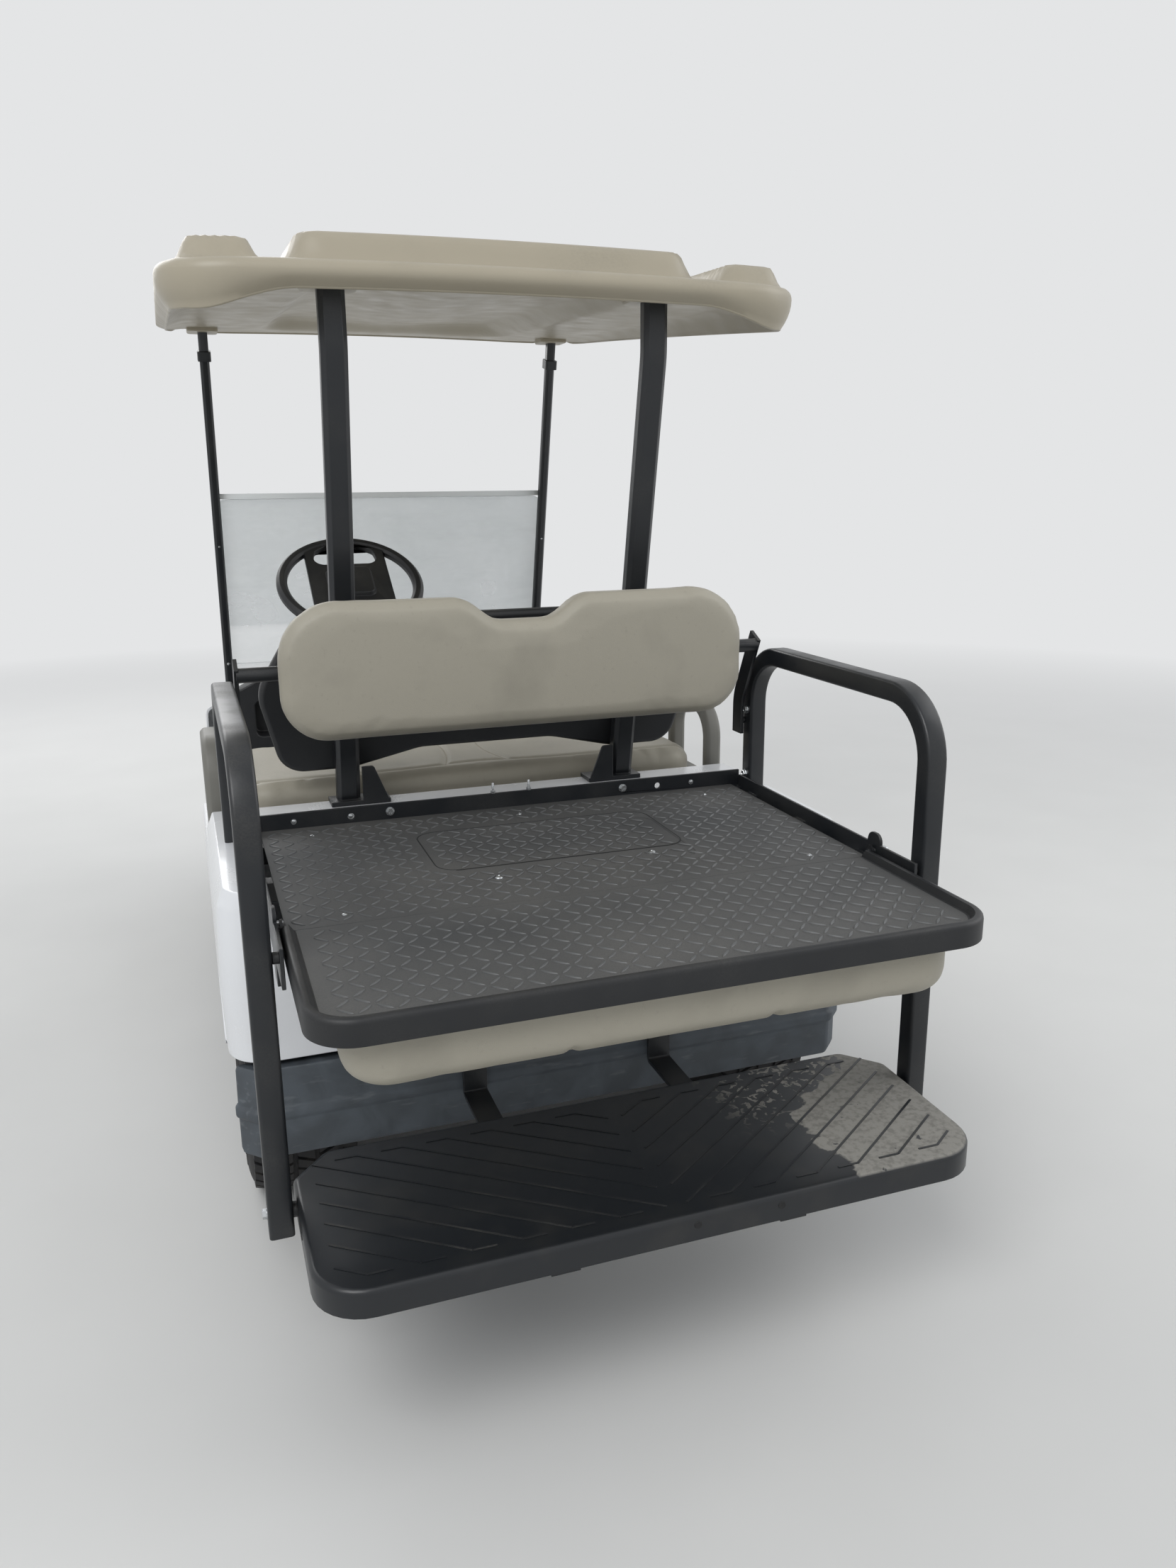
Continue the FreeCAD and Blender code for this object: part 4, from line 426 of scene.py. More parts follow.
def ribbed_mat():
    """Moulded rubber floor mat with ribs every 12 mm, dusty with dried mud."""
    tone = tints().moulded
    material, tree, shader = finish("ribbed_rubber_mat", tone, 0.75)
    dusted(tree, shader, tone, linear("#67635b"), 0.5, 260, 2.5)
    rib_pitch = 0.012
    across = add(tree, "SeparateXYZ", {"Vector": object_place(tree)}).outputs["X"]
    wave = calc(tree, "SINE", calc(tree, "MULTIPLY", across, 2 * math.pi / rib_pitch))
    bump(tree, shader, ramp(tree, wave, -0.3, 0.5), 1.2)
    return material


FINISHES = {}


def use(key):
    """A finish by its short name, made the first time it is asked for."""
    makers = {
        "white": moulded_white,
        "tan": thermoformed_tan,
        "vinyl": marine_vinyl,
        "coat": powder_coat,
        "tread": tread_plate,
        "step": peeled_and_sunlit_step,
        "bumper": weathered_bumper,
        "tyre": tyre_rubber,
        "moulded": lambda: grained_plastic("grained_black_polypropylene", tints().moulded),
        "grey": lambda: grained_plastic("grained_grey_polypropylene", linear("#76756f")),
        "battery": lambda: grained_plastic("battery_case", linear("#202226"), 0.8, 0.6),
        "enamel": lambda: stove_enamel("white_wheel_enamel", linear("#c9c9c4")),
        "axle": lambda: stove_enamel("black_chassis_enamel", linear("#17181a"), 0.45),
        "steel": mill_steel,
        "zinc": zinc_plate,
        "acrylic": hazed_acrylic,
        "edge": edge_with_painted_glint,
        "mirror": plated_reflector,
        "thread": sewing_thread,
        "lamp": lamp_glass,
        "mat": ribbed_mat,
        "seal": lambda: grained_plastic("black_neoprene", linear("#131416"), 2.0, 0.7),
    }
    if key not in FINISHES:
        FINISHES[key] = makers[key]()
    return FINISHES[key]


# The finish of a node, by its slot
NODE_FINISH = {
    "rim_steel": "enamel", "axle_steel": "axle", "chassis_steel": "axle", "spring_steel": "steel",
    "battery_case": "battery", "floor_mat": "mat", "body_white": "white", "bumper_grey": "bumper",
    "dash_black": "moulded", "lamp_lens": "lamp", "seat_vinyl": "vinyl", "board_black": "moulded",
    "shell_black": "moulded", "bracket_black": "coat", "restraint_grey": "grey", "steering_black": "moulded",
    # The black seals take the near-white edge finish, a painted highlight along the windscreen's sunlit
    # edges.
    "roof_tan": "tan", "frame_black": "coat", "screen_clear": "acrylic", "seal_black": "edge",
    "deck_black": "tread", "step_black": "step", "tyre": "tyre",
}


# Mesh building blocks: a shape is its points and a list of face arrays
def unit(vectors):
    """Vectors of length one."""
    return vectors / np.linalg.norm(vectors, axis=-1, keepdims=True)


def grid_faces(rows, columns, close_rows=False, close_columns=False):
    """Quads over a grid of points stored row by row; a closed direction joins its last line to its first."""
    i, j = np.meshgrid(np.arange(rows if close_rows else rows - 1),
                       np.arange(columns if close_columns else columns - 1), indexing="ij")
    here, there = i * columns, ((i + 1) % rows) * columns
    after = (j + 1) % columns
    return np.stack([here + j, here + after, there + after, there + j], -1).reshape(-1, 4)


def joined(shapes):
    """Several shapes as one, the corner numbers of each shifted past those before it."""
    points = np.concatenate([shape[0] for shape in shapes])
    starts = np.cumsum([0] + [len(shape[0]) for shape in shapes])
    faces = [block + start for shape, start in zip(shapes, starts) for block in shape[1]]
    return points, faces


def skinned(rings):
    """A closed skin over rings of equal count, with its two end rings capped."""
    rings = np.asarray(rings, float)
    count, around = rings.shape[:2]
    faces = [grid_faces(count, around, close_columns=True), np.arange(around)[None],
             (count - 1) * around + np.arange(around)[None]]
    return rings.reshape(-1, 3), faces


def prism(outline, low, high, axis="z"):
    """A flat outline, given in the other two axes in order, carried from low to high along an axis."""
    u, v, w = {"x": (1, 2, 0), "y": (0, 2, 1), "z": (0, 1, 2)}[axis]
    rings = np.empty((2, len(outline), 3))
    rings[..., u] = outline[:, 0]
    rings[..., v] = outline[:, 1]
    rings[..., w] = np.array([[low], [high]])
    return skinned(rings)


def rectangle(low, high):
    """A rectangle's corners, from the low one round by the right and the rear."""
    return [(low[0], low[1]), (high[0], low[1]), (high[0], high[1]), (low[0], high[1])]


def block(low, high):
    """A box between two corners."""
    return prism(np.array(rectangle(low, high)), low[2], high[2])


def circle(radius, sides=24):
    """Points at radius times (cos, sin) of equal steps of angle."""
    angle = np.linspace(0, 2 * np.pi, sides, endpoint=False)
    return radius * np.stack([np.cos(angle), np.sin(angle)], -1)


def corner_arc(before, corner, after, radius, steps):
    """An arc tangent to both runs at a corner: its centre lies on the bisector at radius over the sine of
    half the angle, and its points turn evenly from one tangent point to the other."""
    first, second = unit(before - corner), unit(after - corner)
    half = np.arccos(np.clip(first @ second, -1, 1)) / 2
    centre = corner + unit(first + second) * radius / np.sin(half)
    start, end = (corner + way * radius / np.tan(half) - centre for way in (first, second))
    sweep = np.pi - 2 * half
    share = np.linspace(0, 1, steps + 1)[:, None]
    return centre + (np.sin((1 - share) * sweep) * start + np.sin(share * sweep) * end) / np.sin(sweep)


def bent(points, radii, steps=8):
    """Straight runs whose corners are tangent arcs."""
    points = [np.array(p, float) for p in points]
    arcs = [corner_arc(a, b, c, r, steps) for a, b, c, r in zip(points, points[1:], points[2:], radii)]
    return np.concatenate([points[0][None], *arcs, points[-1][None]])


def rounded(corners, radii, steps=6):
    """A closed outline whose corners are tangent arcs, with as many points whatever the radii."""
    corners = np.array(corners, float)
    count = len(corners)
    radii = np.broadcast_to(radii, count)
    return np.concatenate([corner_arc(corners[i - 1], corners[i], corners[(i + 1) % count], radii[i], steps)
                           for i in range(count)])


def rounded_box(wide, deep, radius, steps=5):
    """A rounded rectangle about the origin."""
    return rounded(rectangle((-wide / 2, -deep / 2), (wide / 2, deep / 2)), radius, steps)


def smooth_curve(knots, steps=6):
    """A Catmull-Rom curve: between knots b and c, cubic in t, with tangents (c - a) / 2 and (d - b) / 2."""
    knots = np.array(knots, float)
    padded = np.concatenate([2 * knots[:1] - knots[1:2], knots, 2 * knots[-1:] - knots[-2:-1]])
    a, b, c, d = (padded[i : len(padded) - 3 + i, None] for i in range(4))
    t = np.linspace(0, 1, steps, endpoint=False)[None, :, None]
    curve = 0.5 * (2 * b + (c - a) * t + (2 * a - 5 * b + 4 * c - d) * t**2 + (3 * b - a - 3 * c + d) * t**3)
    return np.concatenate([curve.reshape(-1, knots.shape[1]), knots[-1:]])


def swept(path, section, across, closed=False):
    """A section carried along a path: each ring is the path's point plus u times across plus v times the
    side, the side being the tangent crossed with across."""
    path = np.asarray(path, float)
    steps = unit(np.roll(path, -1, 0) - path)
    tangent = steps + np.roll(steps, 1, 0)
    if not closed:
        tangent[0], tangent[-1] = steps[0], steps[-2]
    across = np.broadcast_to(np.asarray(across, float), path.shape)
    side = unit(np.cross(unit(tangent), across))
    rings = path[:, None] + section[None, :, :1] * across[:, None] + section[None, :, 1:] * side[:, None]
    if closed:
        return rings.reshape(-1, 3), [grid_faces(*rings.shape[:2], True, True)]
    return skinned(rings)


def turned(profile, centre=(0, 0, 0), axis="z", turns=32, closed=False):
    """A profile of (along, radius) pairs turned about an axis through a centre."""
    profile = np.asarray(profile, float)
    w, u, v = {"x": (0, 1, 2), "y": (1, 2, 0), "z": (2, 0, 1)}[axis]
    angle = np.linspace(0, 2 * np.pi, turns, endpoint=False)[:, None]
    points = np.empty((turns, len(profile), 3))
    points[..., w] = profile[:, 0]
    points[..., u] = profile[:, 1] * np.cos(angle)
    points[..., v] = profile[:, 1] * np.sin(angle)
    return points.reshape(-1, 3) + np.asarray(centre), [grid_faces(turns, len(profile), True, closed)]


def aimed(shape, place, direction=(0, 0, 1)):
    """A shape modelled about the origin along +Z, turned to a direction and put in place."""
    turn = np.array(Vector(direction).to_track_quat("Z", "Y").to_matrix())
    return shape[0] @ turn.T + np.asarray(place), shape[1]


def scattered(shape, places, angles):
    """Copies of one small shape at many places, each turned about Z: all points worked out at once."""
    points, faces = shape
    cos, sin = np.cos(angles)[:, None], np.sin(angles)[:, None]
    x, y, z = points.T
    copies = np.stack([x * cos - y * sin, x * sin + y * cos, np.broadcast_to(z, (len(places), len(z)))], -1)
    copies += np.asarray(places)[:, None]
    shift = (np.arange(len(places)) * len(points))[:, None, None]
    return copies.reshape(-1, 3), [(block[None] + shift).reshape(-1, block.shape[1]) for block in faces]


def mirrored(shape):
    """A shape and its mirror image about the cart's middle plane."""
    points, faces = shape
    return joined([shape, (points * (-1, 1, 1), faces)])


def mesh_of(name, shapes):
    """One mesh of several shapes, its doubles merged and its faces turned outwards."""
    points, faces = joined(shapes)
    mesh = bpy.data.meshes.new(name)
    mesh.vertices.add(len(points))
    mesh.vertices.foreach_set("co", points.ravel())
    corners = np.concatenate([face.ravel() for face in faces])
    counts = np.concatenate([np.full(len(face), face.shape[1]) for face in faces])
    mesh.loops.add(len(corners))
    mesh.loops.foreach_set("vertex_index", corners)
    mesh.polygons.add(len(counts))
    mesh.polygons.foreach_set("loop_start", np.concatenate([[0], np.cumsum(counts)[:-1]]))
    mesh.update(calc_edges=True)
    work = bmesh.new()
    work.from_mesh(mesh)
    bmesh.ops.remove_doubles(work, verts=work.verts, dist=2e-6)
    bmesh.ops.recalc_face_normals(work, faces=work.faces)
    work.to_mesh(mesh)
    work.free()
    return mesh


SMOOTH_ANGLE = math.radians(34)


def shown(name, mesh, key, body, node=None):
    """Put a mesh in the scene as a piece of a body, finished, smoothed and standing for a node if given."""
    item = bpy.data.objects.new(name, mesh)
    bpy.context.scene.collection.objects.link(item)
    mesh.materials.clear()
    mesh.materials.append(use(key))
    mesh.shade_smooth()
    mesh.set_sharp_from_angle(angle=SMOOTH_ANGLE)
    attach(item, body)
    if node:
        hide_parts(node)
    return item


def piece(name, shapes, key, body="cart", node=None):
    """A new piece from shapes."""
    return shown(name, mesh_of(name, shapes), key, body, node)


BEVEL_ANGLE = math.radians(35)


def soften(item, width_mm, segments=2):
    """Round a piece's sharp edges, as moulded, bent or ground edges are."""
    modifier = item.modifiers.new("rounded_edges", "BEVEL")
    modifier.width = width_mm * MM
    modifier.segments = segments
    modifier.limit_method = "ANGLE"
    modifier.angle_limit = BEVEL_ANGLE
    modifier.use_clamp_overlap = False
    modifier.harden_normals = True
    return item


def points_of(mesh):
    """A mesh's vertices as an array."""
    values = np.empty(len(mesh.vertices) * 3)
    mesh.vertices.foreach_get("co", values)
    return values.reshape(-1, 3)


def moved(mesh, points):
    """Put a mesh's vertices at new points."""
    mesh.vertices.foreach_set("co", points.ravel())
    mesh.update()


def baked(item):
    """Make what the modifiers give into the object's own mesh."""
    graph = bpy.context.evaluated_depsgraph_get()
    mesh = bpy.data.meshes.new_from_object(item.evaluated_get(graph))
    item.modifiers.clear()
    item.data = mesh


def merged(node):
    """A copy of a CAD piece's mesh with its triangles joined into whole flat faces."""
    mesh = NODES[node].data.copy()
    work = bmesh.new()
    work.from_mesh(mesh)
    bmesh.ops.remove_doubles(work, verts=work.verts, dist=1e-5)
    bmesh.ops.dissolve_limit(work, angle_limit=math.radians(0.5), verts=work.verts, edges=work.edges)
    work.to_mesh(mesh)
    work.free()
    return mesh


def dressed(node, bevel_mm, segments=2):
    """A CAD piece with rounded edges, kept inside its own box and standing for its node."""
    slot = SLOT_OF[node]
    item = shown(node + "_finished", merged(node), NODE_FINISH[slot], BODY_OF[node], node)
    baked(soften(item, bevel_mm, segments))
    moved(item.data, np.clip(points_of(item.data), *corners_of(node)))
    return item


def corners_of(node):
    """The lowest and highest corners of a CAD piece as arrays."""
    return tuple(np.array(corner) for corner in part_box(node))


# Fasteners, with their seats at z = 0; a profile's (height, radius) pairs are times the thread's size
def scaled(size, profile, turns):
    """A turned profile at a size."""
    points, faces = turned(profile, turns=turns)
    return points * size, faces


def washer(size, radius):
    return scaled(size, [(0, 0), (0, radius), (0.18, radius), (0.18, 0)], 20)


def hexagon(size, levels):
    """A six-sided skin through levels of height and radius."""
    return skinned([np.column_stack([circle(radius * size, 6), np.full(6, level * size)])
                    for level, radius in levels])


def hex_bolt(size):
    """A washer and a hexagon head with a chamfered crown and a dimple."""
    head = ((0.18, 0.80), (0.18, 0.92), (0.72, 0.92), (0.86, 0.80), (0.86, 0.45), (0.78, 0.40))
    return joined([washer(size, 1.05), hexagon(size, head)])


def lock_nut(size):
    """A washer, a hexagon nut with its round collar and the thread's end standing out."""
    nut = hexagon(size, ((0.18, 0.86), (0.18, 0.95), (0.8, 0.95), (0.92, 0.82)))
    collar = scaled(size, [(0.9, 0), (0.9, 0.7), (1.15, 0.66), (1.2, 0.5), (1.2, 0)], 16)
    thread = scaled(size, [(1.1, 0), (1.1, 0.46), (1.5, 0.46), (1.56, 0.38), (1.56, 0)], 16)
    return joined([washer(size, 1.1), nut, collar, thread])


def button_screw(size):
    """A domed head with a cross recess drawn as a shallow dimple, on a thin washer."""
    return scaled(size, [(0, 0), (0, 1.25), (0.12, 1.25), (0.12, 0.95), (0.35, 0.86), (0.5, 0.55),
                         (0.55, 0.26), (0.4, 0.18), (0.4, 0)], 20)


def fastened(name, kind, size, spots):
    """One piece of like plated fasteners, each at a place and facing a direction."""
    return piece(name, [aimed(kind(size), place, way) for place, way in spots], "zinc")



class CartOperator(bpy.types.Operator):
    """Shared settings of the cart's operators."""

    bl_options = {"REGISTER", "UNDO"}


class CART_OT_frame(CartOperator):
    """Give every piece of the frame its finish"""

    bl_idname = "cart.frame"
    bl_label = "Frame finishes"

    def execute(self, context):
        for name, node in NODES.items():
            node.data.materials.clear()
            node.data.materials.append(use(NODE_FINISH[SLOT_OF[name]]))
        return {"FINISHED"}


class CART_OT_shells(CartOperator):
    """Rounded copies of the moulded, bent and welded pieces"""

    bl_idname = "cart.shells"
    bl_label = "Shells and metalwork"

    # Each node's bevel; a wide one gets a third segment
    WIDE_MM = 2.5
    EDGES_MM = {
        "rear_body": 3.0, "front_cowl": 1.6, "rear_bumper": 2.4, "front_bumper": 3.0, "dash": 5.0,
        "kit_base": 1.2, "back_shell": 4.0, "back_brackets": 0.8, "backrest_frame": 1.0,
        "steering_wheel": 2.0, "steering_column": 1.5, "pedals": 2.0, "seat_board": 2.0,
        "hip_restraint_left": 3.0, "hip_restraint_right": 3.0, "chassis": 2.5,
        "front_axle": 2.5, "knuckle_left": 2.0, "knuckle_right": 2.0, "tie_rod": 1.0, "rear_axle": 2.5,
        "leaf_springs": 1.0, "step_straps": 0.8, "screen_struts": 1.0, "battery_pack": 6.0, "floor_pan": 1.5,
        "roof_posts": 1.6, "screen_lower": 0.8, "screen_upper": 0.8, "screen_hinge": 1.0,
    }

    def execute(self, context):
        for node, width in self.EDGES_MM.items():
            dressed(node, width, 3 if width > self.WIDE_MM else 2)
        return {"FINISHED"}


class CART_OT_tyres(CartOperator):
    """Turned carcasses with rows of tread blocks, lug nuts, hub caps and valves"""

    bl_idname = "cart.tyres"
    bl_label = "Tyres and wheel fittings"

    # Half of the section, millimetres from the middle and radius
    SIDEWALL_MM = ((92, 102.5), (99, 104), (103, 112), (106.6, 128), (107.6, 142), (107, 162), (104.5, 184),
                   (99, 203), (91, 213.5), (78, 219), (40, 221), (0, 221.5))
    # Rows of blocks: inner edge, outer edge, share of a pitch that the row is shifted by, lean
    ROWS_MM = ((-97, -69, 0.0, 0.10), (-62, -24, 0.5, -0.16), (-17, 17, 0.0, 0.12), (24, 62, 0.5, -0.16),
               (69, 97, 0.0, 0.10))
    # A block's half length as a share of the pitch, how much its top is drawn in, and its depth
    BLOCK_SHARE, BLOCK_TAPER, BLOCK_DEPTH = 0.40, 0.07, 0.010
    # How far the tread falls off, and how far out it does
    SHOULDER_DROP, SHOULDER = 0.0105, 0.098
    # Moulding rings on a sidewall: millimetres across and radius, and the ring's own radius
    RINGS_MM, RING_RADIUS = ((107.2, 150), (105.6, 172), (104.2, 116)), 0.0016
    # Lug nuts: their circle, number, size and seat outwards from the wheel's middle
    LUG_CIRCLE, LUGS, LUG_SIZE, LUG_SEAT = 0.046, 4, 0.012, 0.020
    # Profiles of height and radius, and where they sit outwards and ahead of the wheel's middle
    HUB_CAP = ((0, 0), (0, 0.0275), (0.006, 0.0275), (0.013, 0.024), (0.017, 0.014), (0.0185, 0))
    HUB_CAP_SEAT = 0.0435
    VALVE = ((0, 0), (0, 0.004), (0.012, 0.004), (0.014, 0.0052), (0.024, 0.0052), (0.026, 0))
    VALVE_SEAT, VALVE_AHEAD = 0.018, 0.087

    def execute(self, context):
        for end in ENDS:
            for side_name, side in SIDES:
                wheel = f"{end}_{side_name}"
                low, high = corners_of("tyre_" + wheel)
                centre = (low + high) / 2
                radius = (high[2] - low[2]) / 2
                shapes = [self.carcass(centre), self.tread(centre, radius), self.rings(centre)]
                piece("tyre_tread_" + wheel, shapes, "tyre", "wheel_" + wheel, "tyre_" + wheel)
                piece("wheel_fittings_" + wheel, self.fittings(centre, side), "zinc", "wheel_" + wheel)
                soften(shown("wheel_disc_" + wheel, merged("rim_" + wheel), "enamel", "wheel_" + wheel,
                             "rim_" + wheel), 1.2)
        return {"FINISHED"}

    def carcass(self, centre):
        """A smooth section turned about the axle, closed across its bead."""
        half = np.array(self.SIDEWALL_MM) * MM
        whole = smooth_curve(np.concatenate([half, half[-2::-1] * (-1, 1)]), 3)
        return turned(whole, centre, "x", 96, closed=True)

    def rings(self, centre):
        """Raised moulding rings on both sidewalls."""
        shapes = []
        for side in (-1, 1):
            for across, radius in self.RINGS_MM:
                ring = circle(self.RING_RADIUS, 8) + np.array([side * across, radius]) * MM
                shapes.append(turned(ring, centre, "x", 96, closed=True))
        return joined(shapes)

    def tread(self, centre, radius):
        """Blocks with eight corners: angle and width give the place, and the top falls off to the shoulder
        with the fourth power of the distance from the middle."""
        count = sizes().grip_count
        rows = np.array(self.ROWS_MM) * (MM, MM, 1, 1)
        pitch = 2 * np.pi / count
        turn = (np.arange(count)[None] + rows[:, 2:3]) * pitch
        corner = np.array([[a, w, t] for t in (0, 1) for a, w in ((-1, 0), (1, 0), (1, 1), (-1, 1))])
        along, wide, tall = corner.T
        inset = 1 - self.BLOCK_TAPER * tall
        middle, half = (rows[:, 0] + rows[:, 1]) / 2, (rows[:, 1] - rows[:, 0]) / 2
        across = middle[:, None] + half[:, None] * (2 * wide - 1) * inset
        lean = rows[:, 3:4] * pitch * 2 * (2 * wide - 1)
        angle = turn[:, :, None] + (along * self.BLOCK_SHARE * pitch * inset + lean)[:, None]
        drop = self.SHOULDER_DROP * (np.abs(across) / self.SHOULDER) ** 4
        reach = np.where(tall > 0, radius - drop, radius - self.BLOCK_DEPTH - drop)[:, None]
        across = np.broadcast_to(across[:, None], angle.shape)
        points = np.stack([across, reach * np.cos(angle), reach * np.sin(angle)], -1).reshape(-1, 3) + centre
        sides = np.array([[0, 1, 2, 3], [7, 6, 5, 4], [0, 4, 5, 1], [1, 5, 6, 2], [2, 6, 7, 3], [3, 7, 4, 0]])
        start = np.arange(len(points) // 8)[:, None, None] * 8
        return points, [(sides[None] + start).reshape(-1, 4)]

    def fittings(self, centre, side):
        """Lug nuts on their circle, a domed hub cap and a valve."""
        shapes = []
        out = np.array([side, 0, 0])
        for i in range(self.LUGS):
            angle = (i + 0.5) * 2 * np.pi / self.LUGS
            spoke = np.array([0, np.cos(angle), np.sin(angle)])
            place = centre + out * self.LUG_SEAT + spoke * self.LUG_CIRCLE
            shapes.append(aimed(lock_nut(self.LUG_SIZE), place, out))
        shapes.append(aimed(turned(self.HUB_CAP, turns=28), centre + out * self.HUB_CAP_SEAT, out))
        valve_place = centre + out * self.VALVE_SEAT + np.array([0, self.VALVE_AHEAD, 0])
        shapes.append(aimed(turned(self.VALVE, turns=12), valve_place, out))
        return shapes


class CART_OT_cushions(CartOperator):
    """Cushions blown up by cloth pressure, with sewn channels and stitches"""

    bl_idname = "cart.cushions"
    bl_label = "Cushions"

    # Cushion, how far its start is drawn in and how far it may swell in millimetres, its seams
    CUSHIONS = (("seat_cushion", 8.0, 12.0, "bench_seams"), ("back_pad", 7.0, 10.0, "back_seams"),
                ("flip_cushion", 3.0, 3.5, "flip_seams"), ("rear_back_cushion", 4.0, 5.0, "edge_seams"))
    FILL, PRESSURE, FRAMES = 0.85, 4.0, 20
    # A stitch along and off the surface, its thread's radius, and where the first one lies on the seam
    STITCH_MM = ((-2.2, -0.2), (-1.0, 0.5), (1.0, 0.5), (2.2, -0.2))
    THREAD, FIRST_STITCH = 0.0006, 0.004

    def execute(self, context):
        for node, inset_mm, swell_mm, seams in self.CUSHIONS:
            mesh = self.inflated(node, inset_mm * MM, swell_mm * MM)
            low, high = corners_of(node)
            lines = getattr(self, seams)(low, high)
            self.sewn(mesh, lines)
            item = shown(node + "_vinyl", mesh, "vinyl", BODY_OF[node], node)
            stitches = self.stitches(mesh, [line for line in lines if line[2]])
            if stitches:
                piece(node + "_stitches", stitches, "thread", BODY_OF[node])
        return {"FINISHED"}

    def bowed(self, run, middle, gain):
        """A line's distance from the cushion's middle: it grows with the square of the way to either end."""
        return middle + gain * ((run - run.mean()) / (run[-1] - run[0]) * 2) ** 2

    # A seam is a line of points, the direction that it is pressed in from, and whether its thread shows
    def bench_seams(self, low, high):
        """A line near the rear edge that waves over the middle, and two bowed lines between the lobes."""
        margin, setback, wave, wave_width = 0.02, 0.062, 0.022, 0.11
        x = np.linspace(low[0] + margin, high[0] - margin, 240)
        rear = high[1] - setback - wave * np.exp(-(x / wave_width) ** 2)
        lines = [(np.column_stack([x, rear, np.full(len(x), high[2])]), (0, 0, -1), True)]
        front_margin, rear_margin = 0.03, 0.075
        y = np.linspace(low[1] + front_margin, high[1] - rear_margin, 90)
        bow = self.bowed(y, 0.046, 0.030)
        return lines + [(np.column_stack([side * bow, y, np.full(len(y), high[2])]), (0, 0, -1), True)
                        for side in (-1, 1)]

    def back_seams(self, low, high):
        """Two upright lines between the lobes of the front bench's back."""
        margin, before = 0.03, 0.02
        z = np.linspace(low[2] + margin, high[2] - margin, 80)
        bow = self.bowed(z, 0.050, 0.024)
        return [(np.column_stack([side * bow, np.full(len(z), low[1] - before), z]), (0, 1, 0), True)
                for side in (-1, 1)]

    def flip_seams(self, low, high):
        """A seam round the side where the panel meets its border, and two lines across the sitting face."""
        corner, border, across, margin = 0.06, 0.030, 0.16, 0.02
        ring = rounded(rectangle(low, high), corner, 30)
        level = np.full(len(ring), low[2] + border)
        y = np.linspace(low[1] + margin, high[1] - margin, 80)
        x, z = np.full(len(y), across), np.full(len(y), low[2])
        lines = [(np.column_stack([side * x, y, z]), (0, 0, 1), True) for side in (-1, 1)]
        return lines + [(np.column_stack([ring, level]), None, False)]

    def edge_seams(self, low, high):
        """The rear panel's border, a fine line near its edge."""
        margin, corner = 0.010, 0.10
        half = high[0] - margin
        ring = rounded(rectangle((-half, low[2] + margin), (half, high[2] - margin)), corner, 30)
        return [(np.column_stack([ring[:, 0], np.full(len(ring), low[1]), ring[:, 1]]), (0, 1, 0), False)]

    def sewn(self, mesh, lines):
        """Press the seams in: each point moves against its normal by the depth times a bell of its distance
        from the line, exp(-(d / width)^2), the distance being taken across the pressing direction."""
        size = sizes()
        points = points_of(mesh)
        normals = np.empty(len(points) * 3)
        mesh.vertex_normals.foreach_get("vector", normals)
        normals = normals.reshape(-1, 3)
        press = np.zeros(len(points))
        for line, way, _ in lines:
            keep = np.ones(3) if way is None else 1.0 - np.abs(way)
            facing = 1.0 if way is None else np.clip(-(normals @ np.array(way, float)) * 1.6, 0, 1)
            tree = KDTree(len(line))
            for i, spot in enumerate(line * keep):
                tree.insert(spot, i)
            tree.balance()
            far = np.array([tree.find(spot)[2] for spot in points * keep])
            press = np.maximum(press, np.exp(-(far / size.seam_width) ** 2) * facing)
        moved(mesh, points - normals * (press * size.seam_depth)[:, None])

    def stitches(self, mesh, lines):
        """Short capsules at even steps beside each seam, laid on the finished surface."""
        if not lines:
            return []
        surface = BVHTree.FromPolygons([tuple(v.co) for v in mesh.vertices],
                                       [tuple(p.vertices) for p in mesh.polygons])
        forward, lift = np.array(self.STITCH_MM).T[..., None] * MM
        shapes = []
        for line, way, _ in lines:
            steps = np.concatenate([[0], np.cumsum(np.linalg.norm(np.diff(line, axis=0), axis=1))])
            spots = np.arange(self.FIRST_STITCH, steps[-1], sizes().stitch_pitch)
            middle = np.column_stack([np.interp(spots, steps, line[:, k]) for k in range(3)])
            ahead = np.column_stack([np.interp(spots + 0.001, steps, line[:, k]) for k in range(3)]) - middle
            for spot, run in zip(middle, ahead):
                hit = surface.ray_cast(Vector(spot - np.array(way, float) * 0.05), Vector(way), 0.12)
                if hit[0] is None or np.linalg.norm(run) < 1e-6:
                    continue
                normal = np.array(hit[1])
                run = unit(run - normal * (run @ normal))
                path = np.array(hit[0]) + run * forward + normal * lift
                shapes.append(swept(path, circle(self.THREAD, 6), np.cross(run, normal)))
        return shapes

